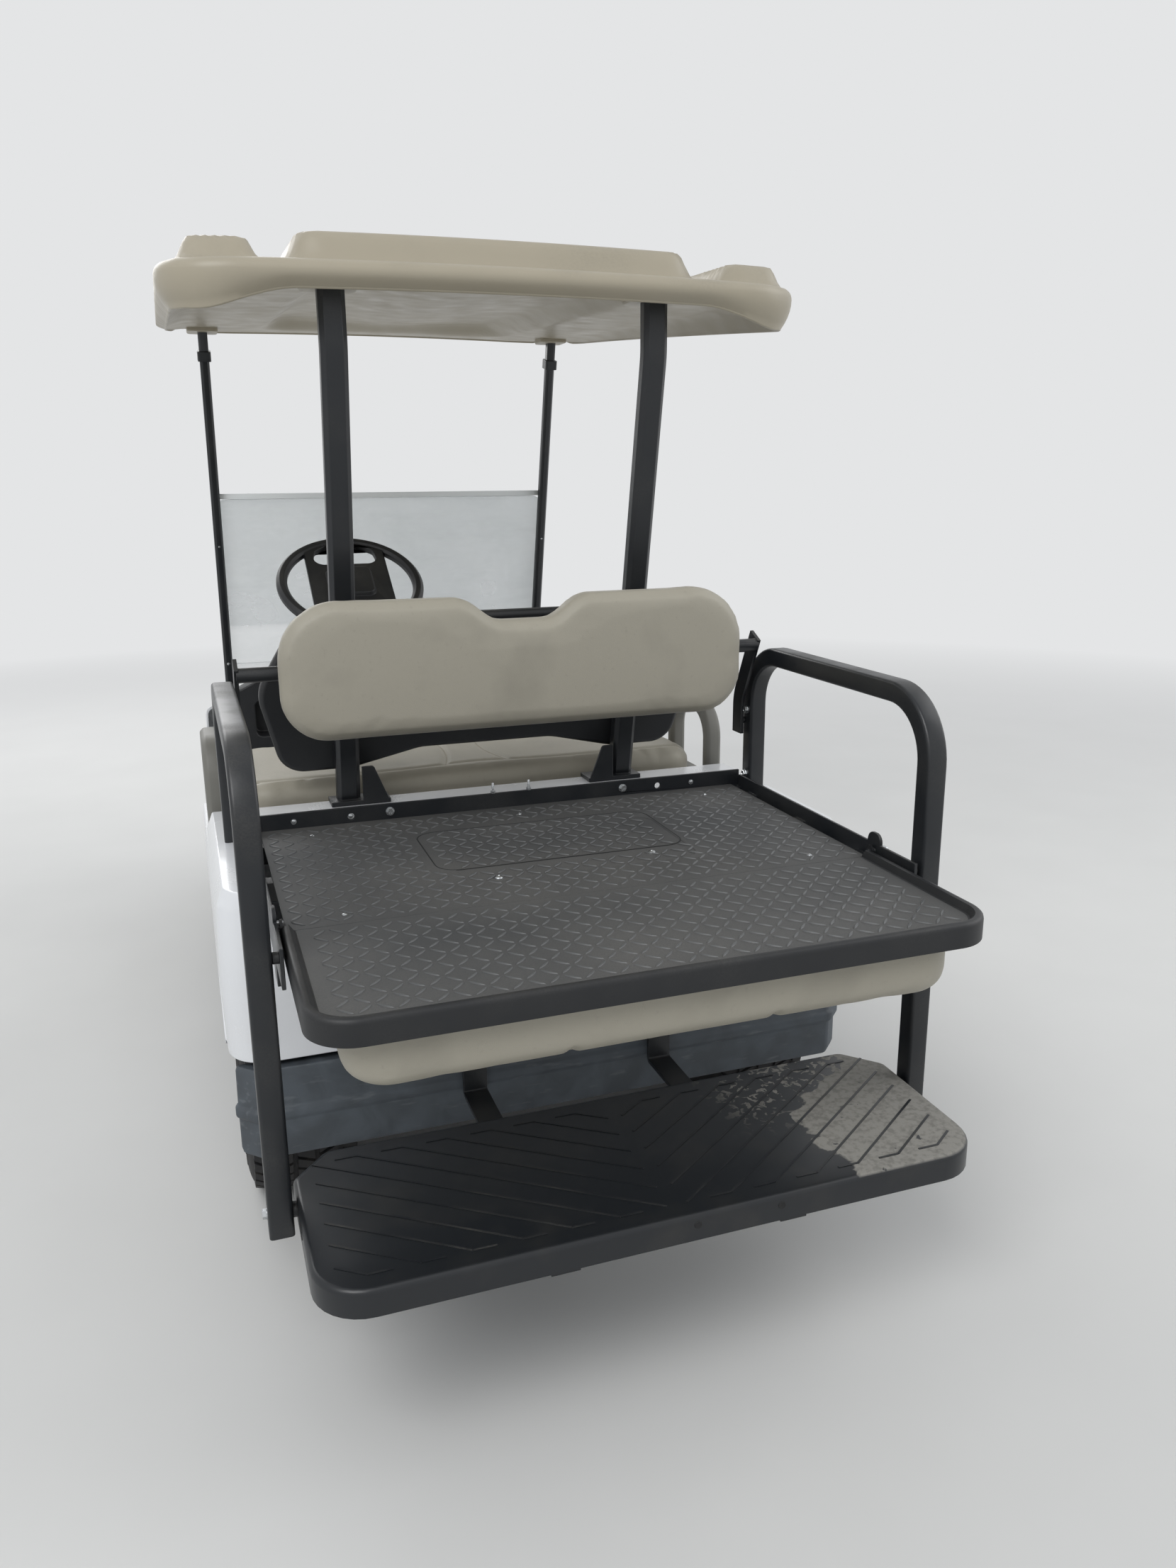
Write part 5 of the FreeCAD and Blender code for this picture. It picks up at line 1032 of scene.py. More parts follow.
    def inflated(self, node, inset, swell):
        """The CAD solid drawn in on every side, remeshed, blown up by cloth pressure with every point's move
        capped, and subdivided once."""
        scene = bpy.context.scene
        low, high = corners_of(node)
        centre, extent = (low + high) / 2, high - low
        item = bpy.data.objects.new(node + "_sewn", merged(node))
        scene.collection.objects.link(item)
        points = points_of(item.data)
        moved(item.data, centre + (points - centre) * (extent - 2 * inset) / extent)
        voxels = item.modifiers.new("voxels", "REMESH")
        voxels.mode = "VOXEL"
        voxels.voxel_size = sizes().cushion_voxel
        baked(item)
        start = points_of(item.data)
        cloth = item.modifiers.new("cloth", "CLOTH")
        cloth.settings.use_pressure = True
        cloth.settings.uniform_pressure_force = self.PRESSURE
        cloth.settings.effector_weights.gravity = 0
        for step in range(1, self.FRAMES + 1):
            scene.frame_set(step)
        baked(item)
        scene.frame_set(1)
        move = points_of(item.data) - start
        far = np.linalg.norm(move, axis=1, keepdims=True)
        moved(item.data, start + move * np.minimum(1, swell / np.maximum(far, 1e-9)))
        finer = item.modifiers.new("finer", "SUBSURF")
        finer.levels = finer.render_levels = 1
        baked(item)
        mesh = item.data
        bpy.data.objects.remove(item)
        points = points_of(mesh)
        moved(mesh, np.clip(points, low, high))
        return mesh


def lozenge(size):
    """A low bar with lens-shaped ends and sloped sides, base just under z = 0."""
    half, wide, rise = size.lozenge_length / 2, size.lozenge_width / 2, size.lozenge_rise
    plan = np.array([(-1, 0), (-0.55, -0.8), (0, -1), (0.55, -0.8), (1, 0), (0.55, 0.8), (0, 1),
                     (-0.55, 0.8)])
    rings = [np.column_stack([plan * (half * share, wide * narrow), np.full(len(plan), level)])
             for share, narrow, level in ((1, 1, -0.0006), (1, 1, 0), (0.8, 0.5, rise))]
    return skinned(rings)


def tread_of(low, high, level, keep_off):
    """Lozenges on a square lattice over a rectangle, each turned 45 degrees and every other one the other
    way; keep_off tells for arrays of x and y which ones are left out."""
    size = sizes()
    pitch = size.lozenge_pitch
    columns = np.arange(math.ceil(low[0] / pitch), math.floor(high[0] / pitch) + 1)
    rows = np.arange(math.ceil(low[1] / pitch), math.floor(high[1] / pitch) + 1)
    i, j = (grid.ravel() for grid in np.meshgrid(columns, rows, indexing="ij"))
    x, y = i * pitch, j * pitch
    angle = np.where((i + j) % 2, np.pi / 4, -np.pi / 4)
    wanted = ~keep_off(x, y)
    places = np.column_stack([x, y, np.full(len(x), level)])[wanted]
    return scattered(lozenge(size), places, angle[wanted])


def box_distance(x, y, low, high, radius):
    """Signed distance to a rounded rectangle: outside length of the offset past the corner centres, less
    the radius, plus the inside depth."""
    u = np.abs(x - (low[0] + high[0]) / 2) - (high[0] - low[0]) / 2 + radius
    v = np.abs(y - (low[1] + high[1]) / 2) - (high[1] - low[1]) / 2 + radius
    return np.hypot(np.maximum(u, 0), np.maximum(v, 0)) + np.minimum(np.maximum(u, v), 0) - radius


class CART_OT_decks(CartOperator):
    """Tread on the fixed deck, and the flip tray with its rounded rim and tread"""

    bl_idname = "cart.decks"
    bl_label = "Cargo decks"

    RECESS_LOW, RECESS_HIGH, RECESS_CORNER = (-0.243, 0.662), (0.233, 0.901), 0.040
    # What is left free of tread along the deck's edges and beside the recess's border
    TREAD_INSET, BORDER_FREE = 0.016, 0.013
    # The same beside and in front on the tray, and the corner of its field of tread
    TRAY_MARGINS, TREAD_CORNER = (0.04, 0.012), 0.03
    # The rim's section: millimetres in from the tray's outer face, and up from the deck
    RIM_MM = ((0, -27), (0, 4), (1.2, 8.5), (4.5, 11.4), (8, 12), (13, 11.2), (17, 6), (20, 1.0), (23, 0),
              (23, -3), (16, -3.5), (9, -4.5), (6, -9), (5, -27))
    # The tray's gap to the fixed deck and its corner radius, its plate's inset and thickness
    TRAY_GAP, TRAY_CORNER, PLATE_INSET, PLATE = 0.0015, 0.072, 0.0225, 0.003
    EAR_RADIUS, EAR_RISE, EAR_LONG, EAR_SETBACK = 0.011, 0.009, 0.004, 0.002
    GROOVE_MM = ((-0.4, -1.3), (0.25, -1.1), (0.25, 1.1), (-0.4, 1.3))

    def execute(self, context):
        low, high = corners_of("deck_fixed")

        def near_border(x, y):
            away = box_distance(x, y, self.RECESS_LOW, self.RECESS_HIGH, self.RECESS_CORNER)
            return np.abs(away) < self.BORDER_FREE

        inset = self.TREAD_INSET
        tread = tread_of(low[:2] + inset, high[:2] - inset, high[2], near_border)
        piece("deck_fixed_tread", [tread], "tread", "cart")
        border = rounded(rectangle(self.RECESS_LOW, self.RECESS_HIGH), self.RECESS_CORNER, 10)
        line = np.column_stack([border, np.full(len(border), high[2])])
        groove = swept(line, np.array(self.GROOVE_MM) * MM, (0, 0, 1), closed=True)
        piece("deck_panel_groove", [groove], "seal", "cart")
        dressed("deck_fixed", bevel_mm=0.6)
        plate, rim = self.tray(high[2])
        piece("flip_tray_plate", plate, "tread", "flip_deck", "flip_tray")
        piece("flip_tray_rim", rim, "moulded", "flip_deck")
        return {"FINISHED"}

    def tray(self, deck):
        """The rim's section carried round three sides, the plate inside it, its ears and its tread."""
        low, high = corners_of("flip_tray")
        half, rear = high[0], high[1]
        front = corners_of("deck_fixed")[1][1] + self.TRAY_GAP
        corner, inner = self.TRAY_CORNER, self.PLATE_INSET
        beside, before = self.TRAY_MARGINS
        section = np.array(self.RIM_MM) * (-MM, MM)
        path = bent([(-half, front, deck), (-half, rear, deck), (half, rear, deck), (half, front, deck)],
                    (corner, corner), 14)
        rim = swept(path, section[:, ::-1] * (1, -1), (0, 0, 1))
        sharp = 0.001
        outline = rounded(rectangle((-half + inner, front), (half - inner, rear - inner)),
                          (sharp, sharp, corner - inner, corner - inner), 8)
        plate = prism(outline, deck - self.PLATE, deck)
        disc = [(0, 0), (0, self.EAR_RADIUS), (self.EAR_LONG, self.EAR_RADIUS), (self.EAR_LONG, 0)]
        back = self.EAR_SETBACK
        ears = [turned(disc, (side * (half - back) - back, front - back, deck + self.EAR_RISE), "x", 24)
                for side in (-1, 1)]

        def off_tray(x, y):
            start, end = (-half + beside, front + before), (half - beside, rear - beside)
            return box_distance(x, y, start, end, self.TREAD_CORNER) > 0

        tread = tread_of((-half, front), (half, rear), deck, off_tray)
        return [plate, tread], [rim, *ears]


class CART_OT_foot_plate(CartOperator):
    """Pressed foot plate with rolled edges, diagonal ribs and plugged holes"""

    bl_idname = "cart.foot_plate"
    bl_label = "Foot plate"

    NOSE, CORNER, SHEET, ROLL = 0.056, 0.080, 0.004, 0.009
    # The ribs' pitch along the plate, fall to the front over their way out, section, returns and margins
    RIB_PITCH, RIB_FALL, RIB_WIDE, RIB_RISE, RETURN = 0.0745, 0.712, 0.0040, 0.0022, 0.036
    RIB_MARGINS = {"side": 0.033, "front": 0.035, "rear": 0.034, "middle": 0.012}
    # Where a rib starts from the middle, how many start on the other side of it, and the shortest one
    RIB_START, RIBS_BEFORE, RIB_LEAST = 0.0165, 5, 0.02
    # A rib's section in half widths and heights
    RIB_SECTION = ((-1, -0.4), (1, -0.4), (1, 0.2), (0.55, 1), (-0.55, 1), (-1, 0.2))
    # Plugged holes across the rear lip, along the left lip from its front, and below the top
    REAR_HOLES, LEFT_HOLES, HOLE_FALL = (-0.16, -0.02), (0.12, 0.19), 0.018
    PLUG = ((0, 0), (0, 0.0062), (0.0012, 0.0056), (0.0006, 0.0035), (0.0006, 0))

    def execute(self, context):
        low, high = corners_of("foot_step")
        turns = np.linspace(0, np.pi / 2, 6)
        levels = [(self.SHEET, high[2] - self.SHEET), (self.SHEET, low[2]), (0, low[2])]
        levels += [(self.ROLL * (1 - np.cos(a)), high[2] - self.ROLL * (1 - np.sin(a))) for a in turns]
        outlines = [(self.outline(low, high, inset), z) for inset, z in levels]
        rings = [np.column_stack([outline, np.full(len(outline), z)]) for outline, z in outlines]
        piece("foot_step_pressing", [skinned(rings)], "step", "cart", "foot_step")
        piece("foot_step_ribs", self.ribs(low, high), "coat", "cart")
        plug = turned(self.PLUG, turns=20)
        lip = high[2] - self.HOLE_FALL
        plugs = [aimed(plug, (x, high[1], lip), (0, 1, 0)) for x in self.REAR_HOLES]
        plugs += [aimed(plug, (high[0], low[1] + y, lip), (1, 0, 0)) for y in self.LEFT_HOLES]
        piece("foot_step_plugs", plugs, "seal", "cart")
        return {"FINISHED"}

    def outline(self, low, high, inset):
        """Bevelled front corners and round rear corners, all drawn in by an inset."""
        x, front, rear = high[0] - inset, low[1] + inset, high[1] - inset
        nose = self.NOSE
        corners = [(-x + nose, front), (x - nose, front), (x, front + nose + 0.006), (x, rear), (-x, rear),
                   (-x, front + nose + 0.006)]
        return rounded(corners, (0.02, 0.02, 0.02, self.CORNER - inset, self.CORNER - inset, 0.02), 8)

    def ribs(self, low, high):
        """Low bars that run outwards and forwards on both halves, with returns along the edges."""
        margin = self.RIB_MARGINS
        front, rear, half = low[1] + margin["front"], high[1] - margin["rear"], high[0] - margin["side"]
        section = np.array(self.RIB_SECTION) * (self.RIB_WIDE / 2, self.RIB_RISE)
        shapes = []
        for foot in np.arange(self.RIB_START - self.RIBS_BEFORE * self.RIB_PITCH, half, self.RIB_PITCH):
            start = max(foot, margin["middle"])
            end = min(foot + (rear - front) / self.RIB_FALL, half)
            if end - start < self.RIB_LEAST:
                continue
            level = [rear - (x - foot) * self.RIB_FALL for x in (start, end)]
            route = [(start, level[0]), (end, level[1])]
            if start == foot and foot > self.RETURN:
                route.insert(0, (foot - self.RETURN, rear))
            if end < half - self.RETURN:
                route.append((end + self.RETURN, front))
            for side in (-1, 1):
                shapes += [self.bar(a, b, side, high[2], section) for a, b in zip(route, route[1:])]
        return shapes

    def bar(self, start, end, side, level, section):
        """One straight bar between two places, on the left half or mirrored."""
        path = np.array([(side * start[0], start[1], level), (side * end[0], end[1], level)])
        across = unit(np.cross(path[1] - path[0], (0, 0, 1)))
        return swept(path, section, across)


class CART_OT_hoops(CartOperator):
    """Square-tube grab hoops with round bends, and the spacers between them and the foot plate"""

    bl_idname = "cart.hoops"
    bl_label = "Grab hoops"

    TUBE, EDGE, BEND = 0.038, 0.006, 0.112
    SPACER, SPACER_RADIUS, SPACER_IN = 0.008, 0.012, 0.006
    # How far a hoop's front leg stays clear of the body's shelf
    SHELF_GAP = 0.0003

    def execute(self, context):
        section = rounded_box(self.TUBE, self.TUBE, self.EDGE, 4)
        for side_name, side in SIDES:
            node = "side_frame_" + side_name
            low, high = corners_of(node)
            x = side * (max(abs(low[0]), abs(high[0])) - self.TUBE / 2)
            front, rear, top = low[1] + self.TUBE / 2, high[1] - self.TUBE / 2, high[2] - self.TUBE / 2
            shelf = corners_of("rear_body")[1][2] + self.SHELF_GAP
            path = bent([(x, front, shelf), (x, front, top), (x, rear, top), (x, rear, low[2])],
                        (self.BEND, self.BEND), 14)
            tube = swept(path, section, (1, 0, 0))
            step = (corners_of("foot_step")[0][2] + corners_of("foot_step")[1][2]) / 2
            inner = np.array((side * (abs(x) - self.TUBE / 2 - self.SPACER_IN), rear, step))
            start = inner - (self.SPACER * (side < 0), 0, 0)
            spacer = turned([(0, 0), (0, self.SPACER_RADIUS), (self.SPACER, self.SPACER_RADIUS),
                             (self.SPACER, 0)], start, "x", 20)
            piece(node + "_tube", [tube, spacer], "coat", "cart", node)
        return {"FINISHED"}


class CART_OT_roof(CartOperator):
    """Thermoformed roof: a closed skin with a raised field, side pads, a rolled rim and deep rear lips"""

    bl_idname = "cart.roof"
    bl_label = "Roof"

    # The rim's top at the rear edge and its rise to the front, its length and roll, the wall's thickness
    EDGE, RISE, LONG, ROLL, WALL = 1.772, 0.078, 1.540, 0.020, 0.007
    FRONT_CORNER, REAR_CORNER = 0.230, 0.135
    CROWN = 0.010
    # The lip's depth in front, what it gains to the rear, and what the rear corners gain besides
    LIP, LIP_REAR, LIP_CORNER = 0.026, 0.018, 0.034
    # Half across and what is left free behind and in front, height behind and in front, width of the flank
    FIELD, FIELD_HEIGHTS, FIELD_FLANK = (0.400, 0.055, 0.060), (0.056, 0.012), 0.034
    PAD, PAD_HEIGHTS, PAD_FLANK = (0.432, 0.580, 0.045), (0.040, 0.012), 0.028
    FIELD_CORNER, PAD_CORNER = 0.07, 0.045
    # The lip's tuck inwards, where the lower face starts from the rim, and how far it lies below the sheet
    TUCK, UNDER_INSET, UNDER_DROP = 0.020, 0.075, 0.026
    # The hollow under the field: its margins beside and before the field, corner, depth and flank
    HOLLOW_MARGINS, HOLLOW_CORNER, HOLLOW, HOLLOW_FLANK = (0.05, 0.13), 0.10, 0.030, 0.07
    # The bulge along the hollow's middle: its height and width
    BULGE, BULGE_WIDE = 0.014, 0.16
    # Across, how far before the held node's rear end, half width, the node that it holds
    SOCKETS = ((0.315, 0.019, 0.040, "roof_posts"), (0.496, 0.018, 0.028, "screen_struts"))
    FLANGE, FLANGE_DEPTH, SOCKET_CORNER = 0.012, 0.016, 0.014

    def execute(self, context):
        low, high = corners_of("roof")
        self.half, self.reach = high[0], self.LONG / 2
        self.middle = high[1] - self.LONG / 2 - 0.0005
        piece("roof_moulding", [self.skin()], "tan", "cart", "roof")
        soften(piece("roof_sockets", self.sockets(), "tan", "cart"), 3.5, 3)
        return {"FINISHED"}

    def skin(self):
        """Rings from the top's middle out to the rim, round its rolled edge and back under to the middle."""
        radii = (self.FRONT_CORNER, self.FRONT_CORNER, self.REAR_CORNER, self.REAR_CORNER)
        corners = rectangle((-self.half, -self.reach), (self.half, self.reach))
        rim = self.even(rounded(corners, radii, 16), 320)
        along = np.column_stack([np.roll(rim, -1, 0) - np.roll(rim, 1, 0), np.zeros(len(rim))])
        outward = unit(np.cross(along, (0, 0, 1)))[:, :2]
        lip = self.lip(rim)
        rings = []
        inner = rim - outward * self.ROLL
        for share in np.concatenate([[0.0001], np.linspace(0.02, 1, 116)]):
            rings.append(self.ring(inner * share, self.top(inner * share)))
        edge = self.top(inner)
        for angle in np.linspace(0.15, 1, 8) * np.pi / 2:
            out, drop = self.ROLL * np.sin(angle), self.ROLL * (1 - np.cos(angle))
            rings.append(self.ring(inner + outward * out, edge - drop))
        for share in (0.2, 0.4, 0.6, 0.8, 1.0):
            bow = self.TUCK * share ** 2
            rings.append(self.ring(rim - outward * bow, edge - self.ROLL - (lip - self.ROLL) * share))
        for angle in np.linspace(0.2, np.pi, 6):
            inset = self.TUCK + self.WALL / 2 * (1 - np.cos(angle))
            rings.append(self.ring(rim - outward * inset, edge - lip - self.WALL / 2 * np.sin(angle)))
        below = rim - outward * self.UNDER_INSET
        under = self.under(below)
        start = self.TUCK + self.WALL
        for share in np.linspace(0.15, 1, 6):
            plan = rim - outward * (start + (self.UNDER_INSET - start) * share)
            rings.append(self.ring(plan, edge - lip + (under - edge + lip) * np.sin(share * np.pi / 2)))
        for share in np.linspace(0.98, 0.0001, 48):
            rings.append(self.ring(below * share, self.under(below * share)))
        return skinned(np.array(rings))

    def ring(self, plan, level):
        """Points over a plan given about the roof's middle."""
        return np.column_stack([plan[:, 0], plan[:, 1] + self.middle, level])

    def even(self, outline, count):
        """The same outline with points at equal steps along it."""
        closed = np.concatenate([outline, outline[:1]])
        along = np.concatenate([[0], np.cumsum(np.linalg.norm(np.diff(closed, axis=0), axis=1))])
        steps = np.linspace(0, along[-1], count, endpoint=False)
        return np.column_stack([np.interp(steps, along, closed[:, k]) for k in (0, 1)])

    def lip(self, rim):
        """How deep the lip hangs: shallow in front and in the middle of the rear, deep at its corners."""
        side = self.step(np.abs(rim[:, 0]) / self.half, 0.62, 0.92)
        behind = 1 - self.ahead(rim)
        return self.LIP + self.LIP_REAR * behind + self.LIP_CORNER * side * behind ** 1.5

    def ahead(self, plan):
        """The share of the way from the rear edge, 0, to the front edge, 1."""
        return np.clip(0.5 - plan[:, 1] / self.LONG, 0, 1)

    def step(self, value, low, high):
        """A smooth step: 3 t^2 - 2 t^3 of the value's clamped share between two levels."""
        t = np.clip((value - low) / (high - low), 0, 1)
        return t * t * (3 - 2 * t)

    def base(self, plan):
        """The plain sheet: rising evenly to the front, with a slight crown across."""
        return self.EDGE + self.RISE * self.ahead(plan) - self.CROWN * (plan[:, 0] / self.half) ** 2

    def top(self, plan):
        """The upper face: the plain sheet with a raised middle field and two side pads with sloped flanks."""
        x, y = plan.T
        long = self.reach
        wide, rear, front = self.FIELD
        field = -box_distance(x, y, (-wide, -long + front), (wide, long - rear), self.FIELD_CORNER)
        inner, outer, margin = self.PAD
        pads = -box_distance(np.abs(x), y, (inner, -long + margin), (outer, long - margin), self.PAD_CORNER)
        ahead = self.ahead(plan)
        raised = np.interp(ahead, (0, 1), self.FIELD_HEIGHTS) * self.step(field, 0, self.FIELD_FLANK)
        padded = np.interp(ahead, (0, 1), self.PAD_HEIGHTS) * self.step(pads, 0, self.PAD_FLANK)
        return self.base(plan) + raised + padded

    def under(self, plan):
        """The lower face: a tray round a hollow under the raised field, with a bulge along its middle."""
        x, y = plan.T
        beside, before = self.HOLLOW_MARGINS
        half, end = self.FIELD[0] - beside, self.reach - before
        hollow = -box_distance(x, y, (-half, -end), (half, end), self.HOLLOW_CORNER)
        depth = self.HOLLOW - self.BULGE * np.exp(-(x / self.BULGE_WIDE) ** 2)
        return self.base(plan) - self.UNDER_DROP + depth * self.step(hollow, 0, self.HOLLOW_FLANK)

    def sockets(self):
        """Rounded bosses under the roof that take the posts and struts, a flange round each."""
        shapes = []
        for across, back, half, node in self.SOCKETS:
            low, high = corners_of(node)
            y, foot = high[1] - back, high[2] + 0.0004
            plan = np.array([[across, y - self.middle]])
            skin = float(self.under(plan)[0]) + 0.004
            flange = min(skin - self.FLANGE_DEPTH, foot + self.FLANGE)
            for wide, start in ((half, foot), (half + self.FLANGE, flange)):
                outline = rounded_box(2 * wide, 2 * wide, self.SOCKET_CORNER) + (across, y)
                shapes.append(mirrored(prism(outline, start, skin)))
        return shapes


class CART_OT_fittings(CartOperator):
    """Bolts, studs, screws and the trim of the folded windscreen, with a painted highlight strip on its fold
    """

    bl_idname = "cart.fittings"
    bl_label = "Fittings"

    # The threads of what is fastened, and how high above the deck it sits on the rail and the fold
    FRAME, RAIL, PANEL, DECK, STRUT = 0.0085, 0.0045, 0.0075, 0.0040, 0.0055
    BOLT_RISE, SCREW_RISE, STUD_RISE, PIVOT_RISE, PIVOT_Y = 0.016, 0.014, 0.032, 0.009, 1.092
    # Places across the cart, metres
    RAIL_BOLTS, RAIL_SCREWS, RAIL_STUDS = (0.256, -0.252), (0.336, 0.448, -0.415), (0.038, -0.040)
    PANEL_SCREWS, PANEL_SUNK = ((0.143, 0.965), (-0.158, 0.930)), 0.0008
    DECK_SCREWS = ((0.42, 0.60), (-0.42, 0.60), (0.42, 1.05), (-0.42, 1.05), (0.0, 0.60))
    # Heights on the hoops' front legs, and along the windscreen's struts
    HOOP_BOLTS = (0.905, 0.760)
    STRUT_SCREWS, STRUT_X = (0.86, 1.22, 1.60), 0.496
    # A strut's depth at its foot, what its depths take off its run, and the way its rear face looks
    STRUT_DEEP, STRUT_RUN, STRUT_FACE = 0.030, 0.034, (0, 0.96, -0.28)
    # How far below the foot plate's top its bolts sit
    STEP_BOLT_FALL = 0.020
    STUD = ((0, 0), (0, 0.0028), (0.020, 0.0028), (0.022, 0.002), (0.022, 0))
    STUD_NUT = ((0, 0.0055), (0.005, 0.0055))
    # Above the lower panel's foot, and the clips' places as a share of the half width
    STRIP_RISES, CLIP_SHARE = (0.030, 0.062), 0.66
    # Lamp profiles: metres behind the lamp's front, and radius
    BOWL = ((0.012, 0.054), (0.022, 0.050), (0.040, 0.036), (0.052, 0.018), (0.054, 0), (0.058, 0),
            (0.060, 0.030), (0.076, 0.040), (0.076, 0.060), (0.014, 0.061))
    LENS = ((0.0, 0.0), (0.0012, 0.020), (0.0048, 0.040), (0.0105, 0.0545), (0.0135, 0.0545),
            (0.0078, 0.038), (0.0042, 0.020), (0.003, 0.0))
    BULB = ((0.050, 0.009), (0.034, 0.009), (0.028, 0.006), (0.0265, 0.0))

    def execute(self, context):
        deck_low, deck_high = corners_of("deck_fixed")
        rail, deck = deck_low[1] - 0.0003, deck_high[2]
        tube = CART_OT_hoops.TUBE
        bolts = [((x, rail, deck + self.BOLT_RISE), (0, 1, 0)) for x in self.RAIL_BOLTS]
        for side_name, side in SIDES:
            low, high = corners_of("side_frame_" + side_name)
            outer = side * max(abs(low[0]), abs(high[0]))
            bolts += [((outer - side * tube, low[1] + tube / 2, z), (-side, 0, 0)) for z in self.HOOP_BOLTS]
            step = corners_of("foot_step")[1][2] - self.STEP_BOLT_FALL
            bolts.append(((outer, high[1] - tube / 2, step), (side, 0, 0)))
        fastened("frame_bolts", hex_bolt, self.FRAME, bolts)
        fold = corners_of("kit_base")[1][0]
        pivots = [((side * fold, self.PIVOT_Y, deck + self.PIVOT_RISE), (side, 0, 0)) for _, side in SIDES]
        fastened("fold_pivot_nuts", lock_nut, self.FRAME, pivots)
        screws = [((x, rail, deck + self.SCREW_RISE), (0, 1, 0)) for x in self.RAIL_SCREWS]
        fastened("rail_screws", button_screw, self.RAIL, screws)
        panel = [((x, y, deck - self.PANEL_SUNK), (0, 0, 1)) for x, y in self.PANEL_SCREWS]
        fastened("panel_screws", button_screw, self.PANEL, panel)
        plate = [((x, y, deck), (0, 0, 1)) for x, y in self.DECK_SCREWS]
        fastened("deck_screws", button_screw, self.DECK, plate)
        stud = joined([turned(self.STUD, turns=12), hexagon(1, self.STUD_NUT)])
        studs = [aimed(stud, (x, rail - 0.003, deck + self.STUD_RISE)) for x in self.RAIL_STUDS]
        piece("rail_studs", studs, "zinc")
        self.struts()
        self.screen()
        self.lamps()
        return {"FINISHED"}

    def struts(self):
        """Screws on the rear faces of the windscreen's struts, on the line from foot to top."""
        low, high = corners_of("screen_struts")
        spots = []
        for z in self.STRUT_SCREWS:
            share = (z - low[2]) / (high[2] - low[2])
            y = low[1] + self.STRUT_DEEP + (high[1] - low[1] - self.STRUT_RUN) * share
            spots += [((side * self.STRUT_X, y, z), self.STRUT_FACE) for side in (-1, 1)]
        fastened("strut_screws", button_screw, self.STRUT, spots)

    def screen(self):
        """White strips on the fold and near the lower panel's foot, these with dark clips: the one on the
        fold is a painted highlight of its sunlit edge, the others polished trims.
        """
        low, high = corners_of("screen_lower")
        slope = (high[1] - low[1]) / (high[2] - low[2])
        half = high[0] - 0.012
        fold_low, fold_high = corners_of("screen_hinge")
        front, rear, top = fold_low[1] + 0.002, fold_high[1] + 0.0015, fold_high[2]
        # The strip along the fold is a painted highlight of its sunlit edge.
        edges = [block((-half, front, top - 0.012), (half, rear, top + 0.003))]
        clips = []
        for rise in self.STRIP_RISES:
            y, z = low[1] + 0.012 + rise * slope, low[2] + rise
            edges.append(block((-half, y - 0.002, z), (half, y + 0.003, z + 0.004)))
            for x in (-half * self.CLIP_SHARE, half * self.CLIP_SHARE):
                clips.append(block((x - 0.020, y - 0.003, z - 0.004), (x + 0.020, y + 0.005, z + 0.008)))
        piece("screen_trims_and_painted_glint", edges, "edge")
        soften(piece("screen_clips", clips, "seal"), 1.0)

    def lamps(self):
        """A mirror bowl, a bulb and a domed lens with a bezel for each lamp."""
        low, high = corners_of("headlamps")
        radius = (high[2] - low[2]) / 2
        centre = (high[0] - radius, low[1], (low[2] + high[2]) / 2)
        bezel = [(0.0085, 0.0535), (0.0065, 0.0580), (0.010, radius), (0.018, radius), (0.018, 0.0535)]
        parts = (("lamp_bowls", self.BOWL, "mirror", True), ("lamp_bulbs", self.BULB, "lamp", False),
                 ("lamp_bezels", bezel, "moulded", True), ("lamp_lenses", self.LENS, "lamp", False))
        for name, profile, key, closed in parts:
            shape = turned(profile, centre, "y", 48, closed=closed)
            node = "headlamps" if name == "lamp_lenses" else None
            piece(name, [mirrored(shape)], key, node=node)


# Stage
CAMERA_PLACE = Vector((0.6215, 2.8016, 1.3998))
CAMERA_YAW, CAMERA_PITCH, CAMERA_ROLL = 19.32, 14.77, 0.50
CAMERA_LENS, SENSOR_WIDTH = 26.43, 36
FLOOR_TONE, BACKDROP_TONE, SKY_TONE = "#dcdcda", "#e4e5e6", "#eef1f5"
FLOOR_SIZE = 60
FLOOR_FADE = (3.0, 8.0)
WORLD_STRENGTH = 0.56
# The point that the lamps face, and each one's name, place, width and power
LAMP_AIM = Vector((0, 0.2, 0.8))
LAMPS = (("key_light", (3.2, 4.2, 5.2), 3.4, 185), ("fill_light", (-4.5, 1.5, 3.6), 4.0, 80),
         ("front_light", (1.5, -5.0, 4.0), 3.4, 120))


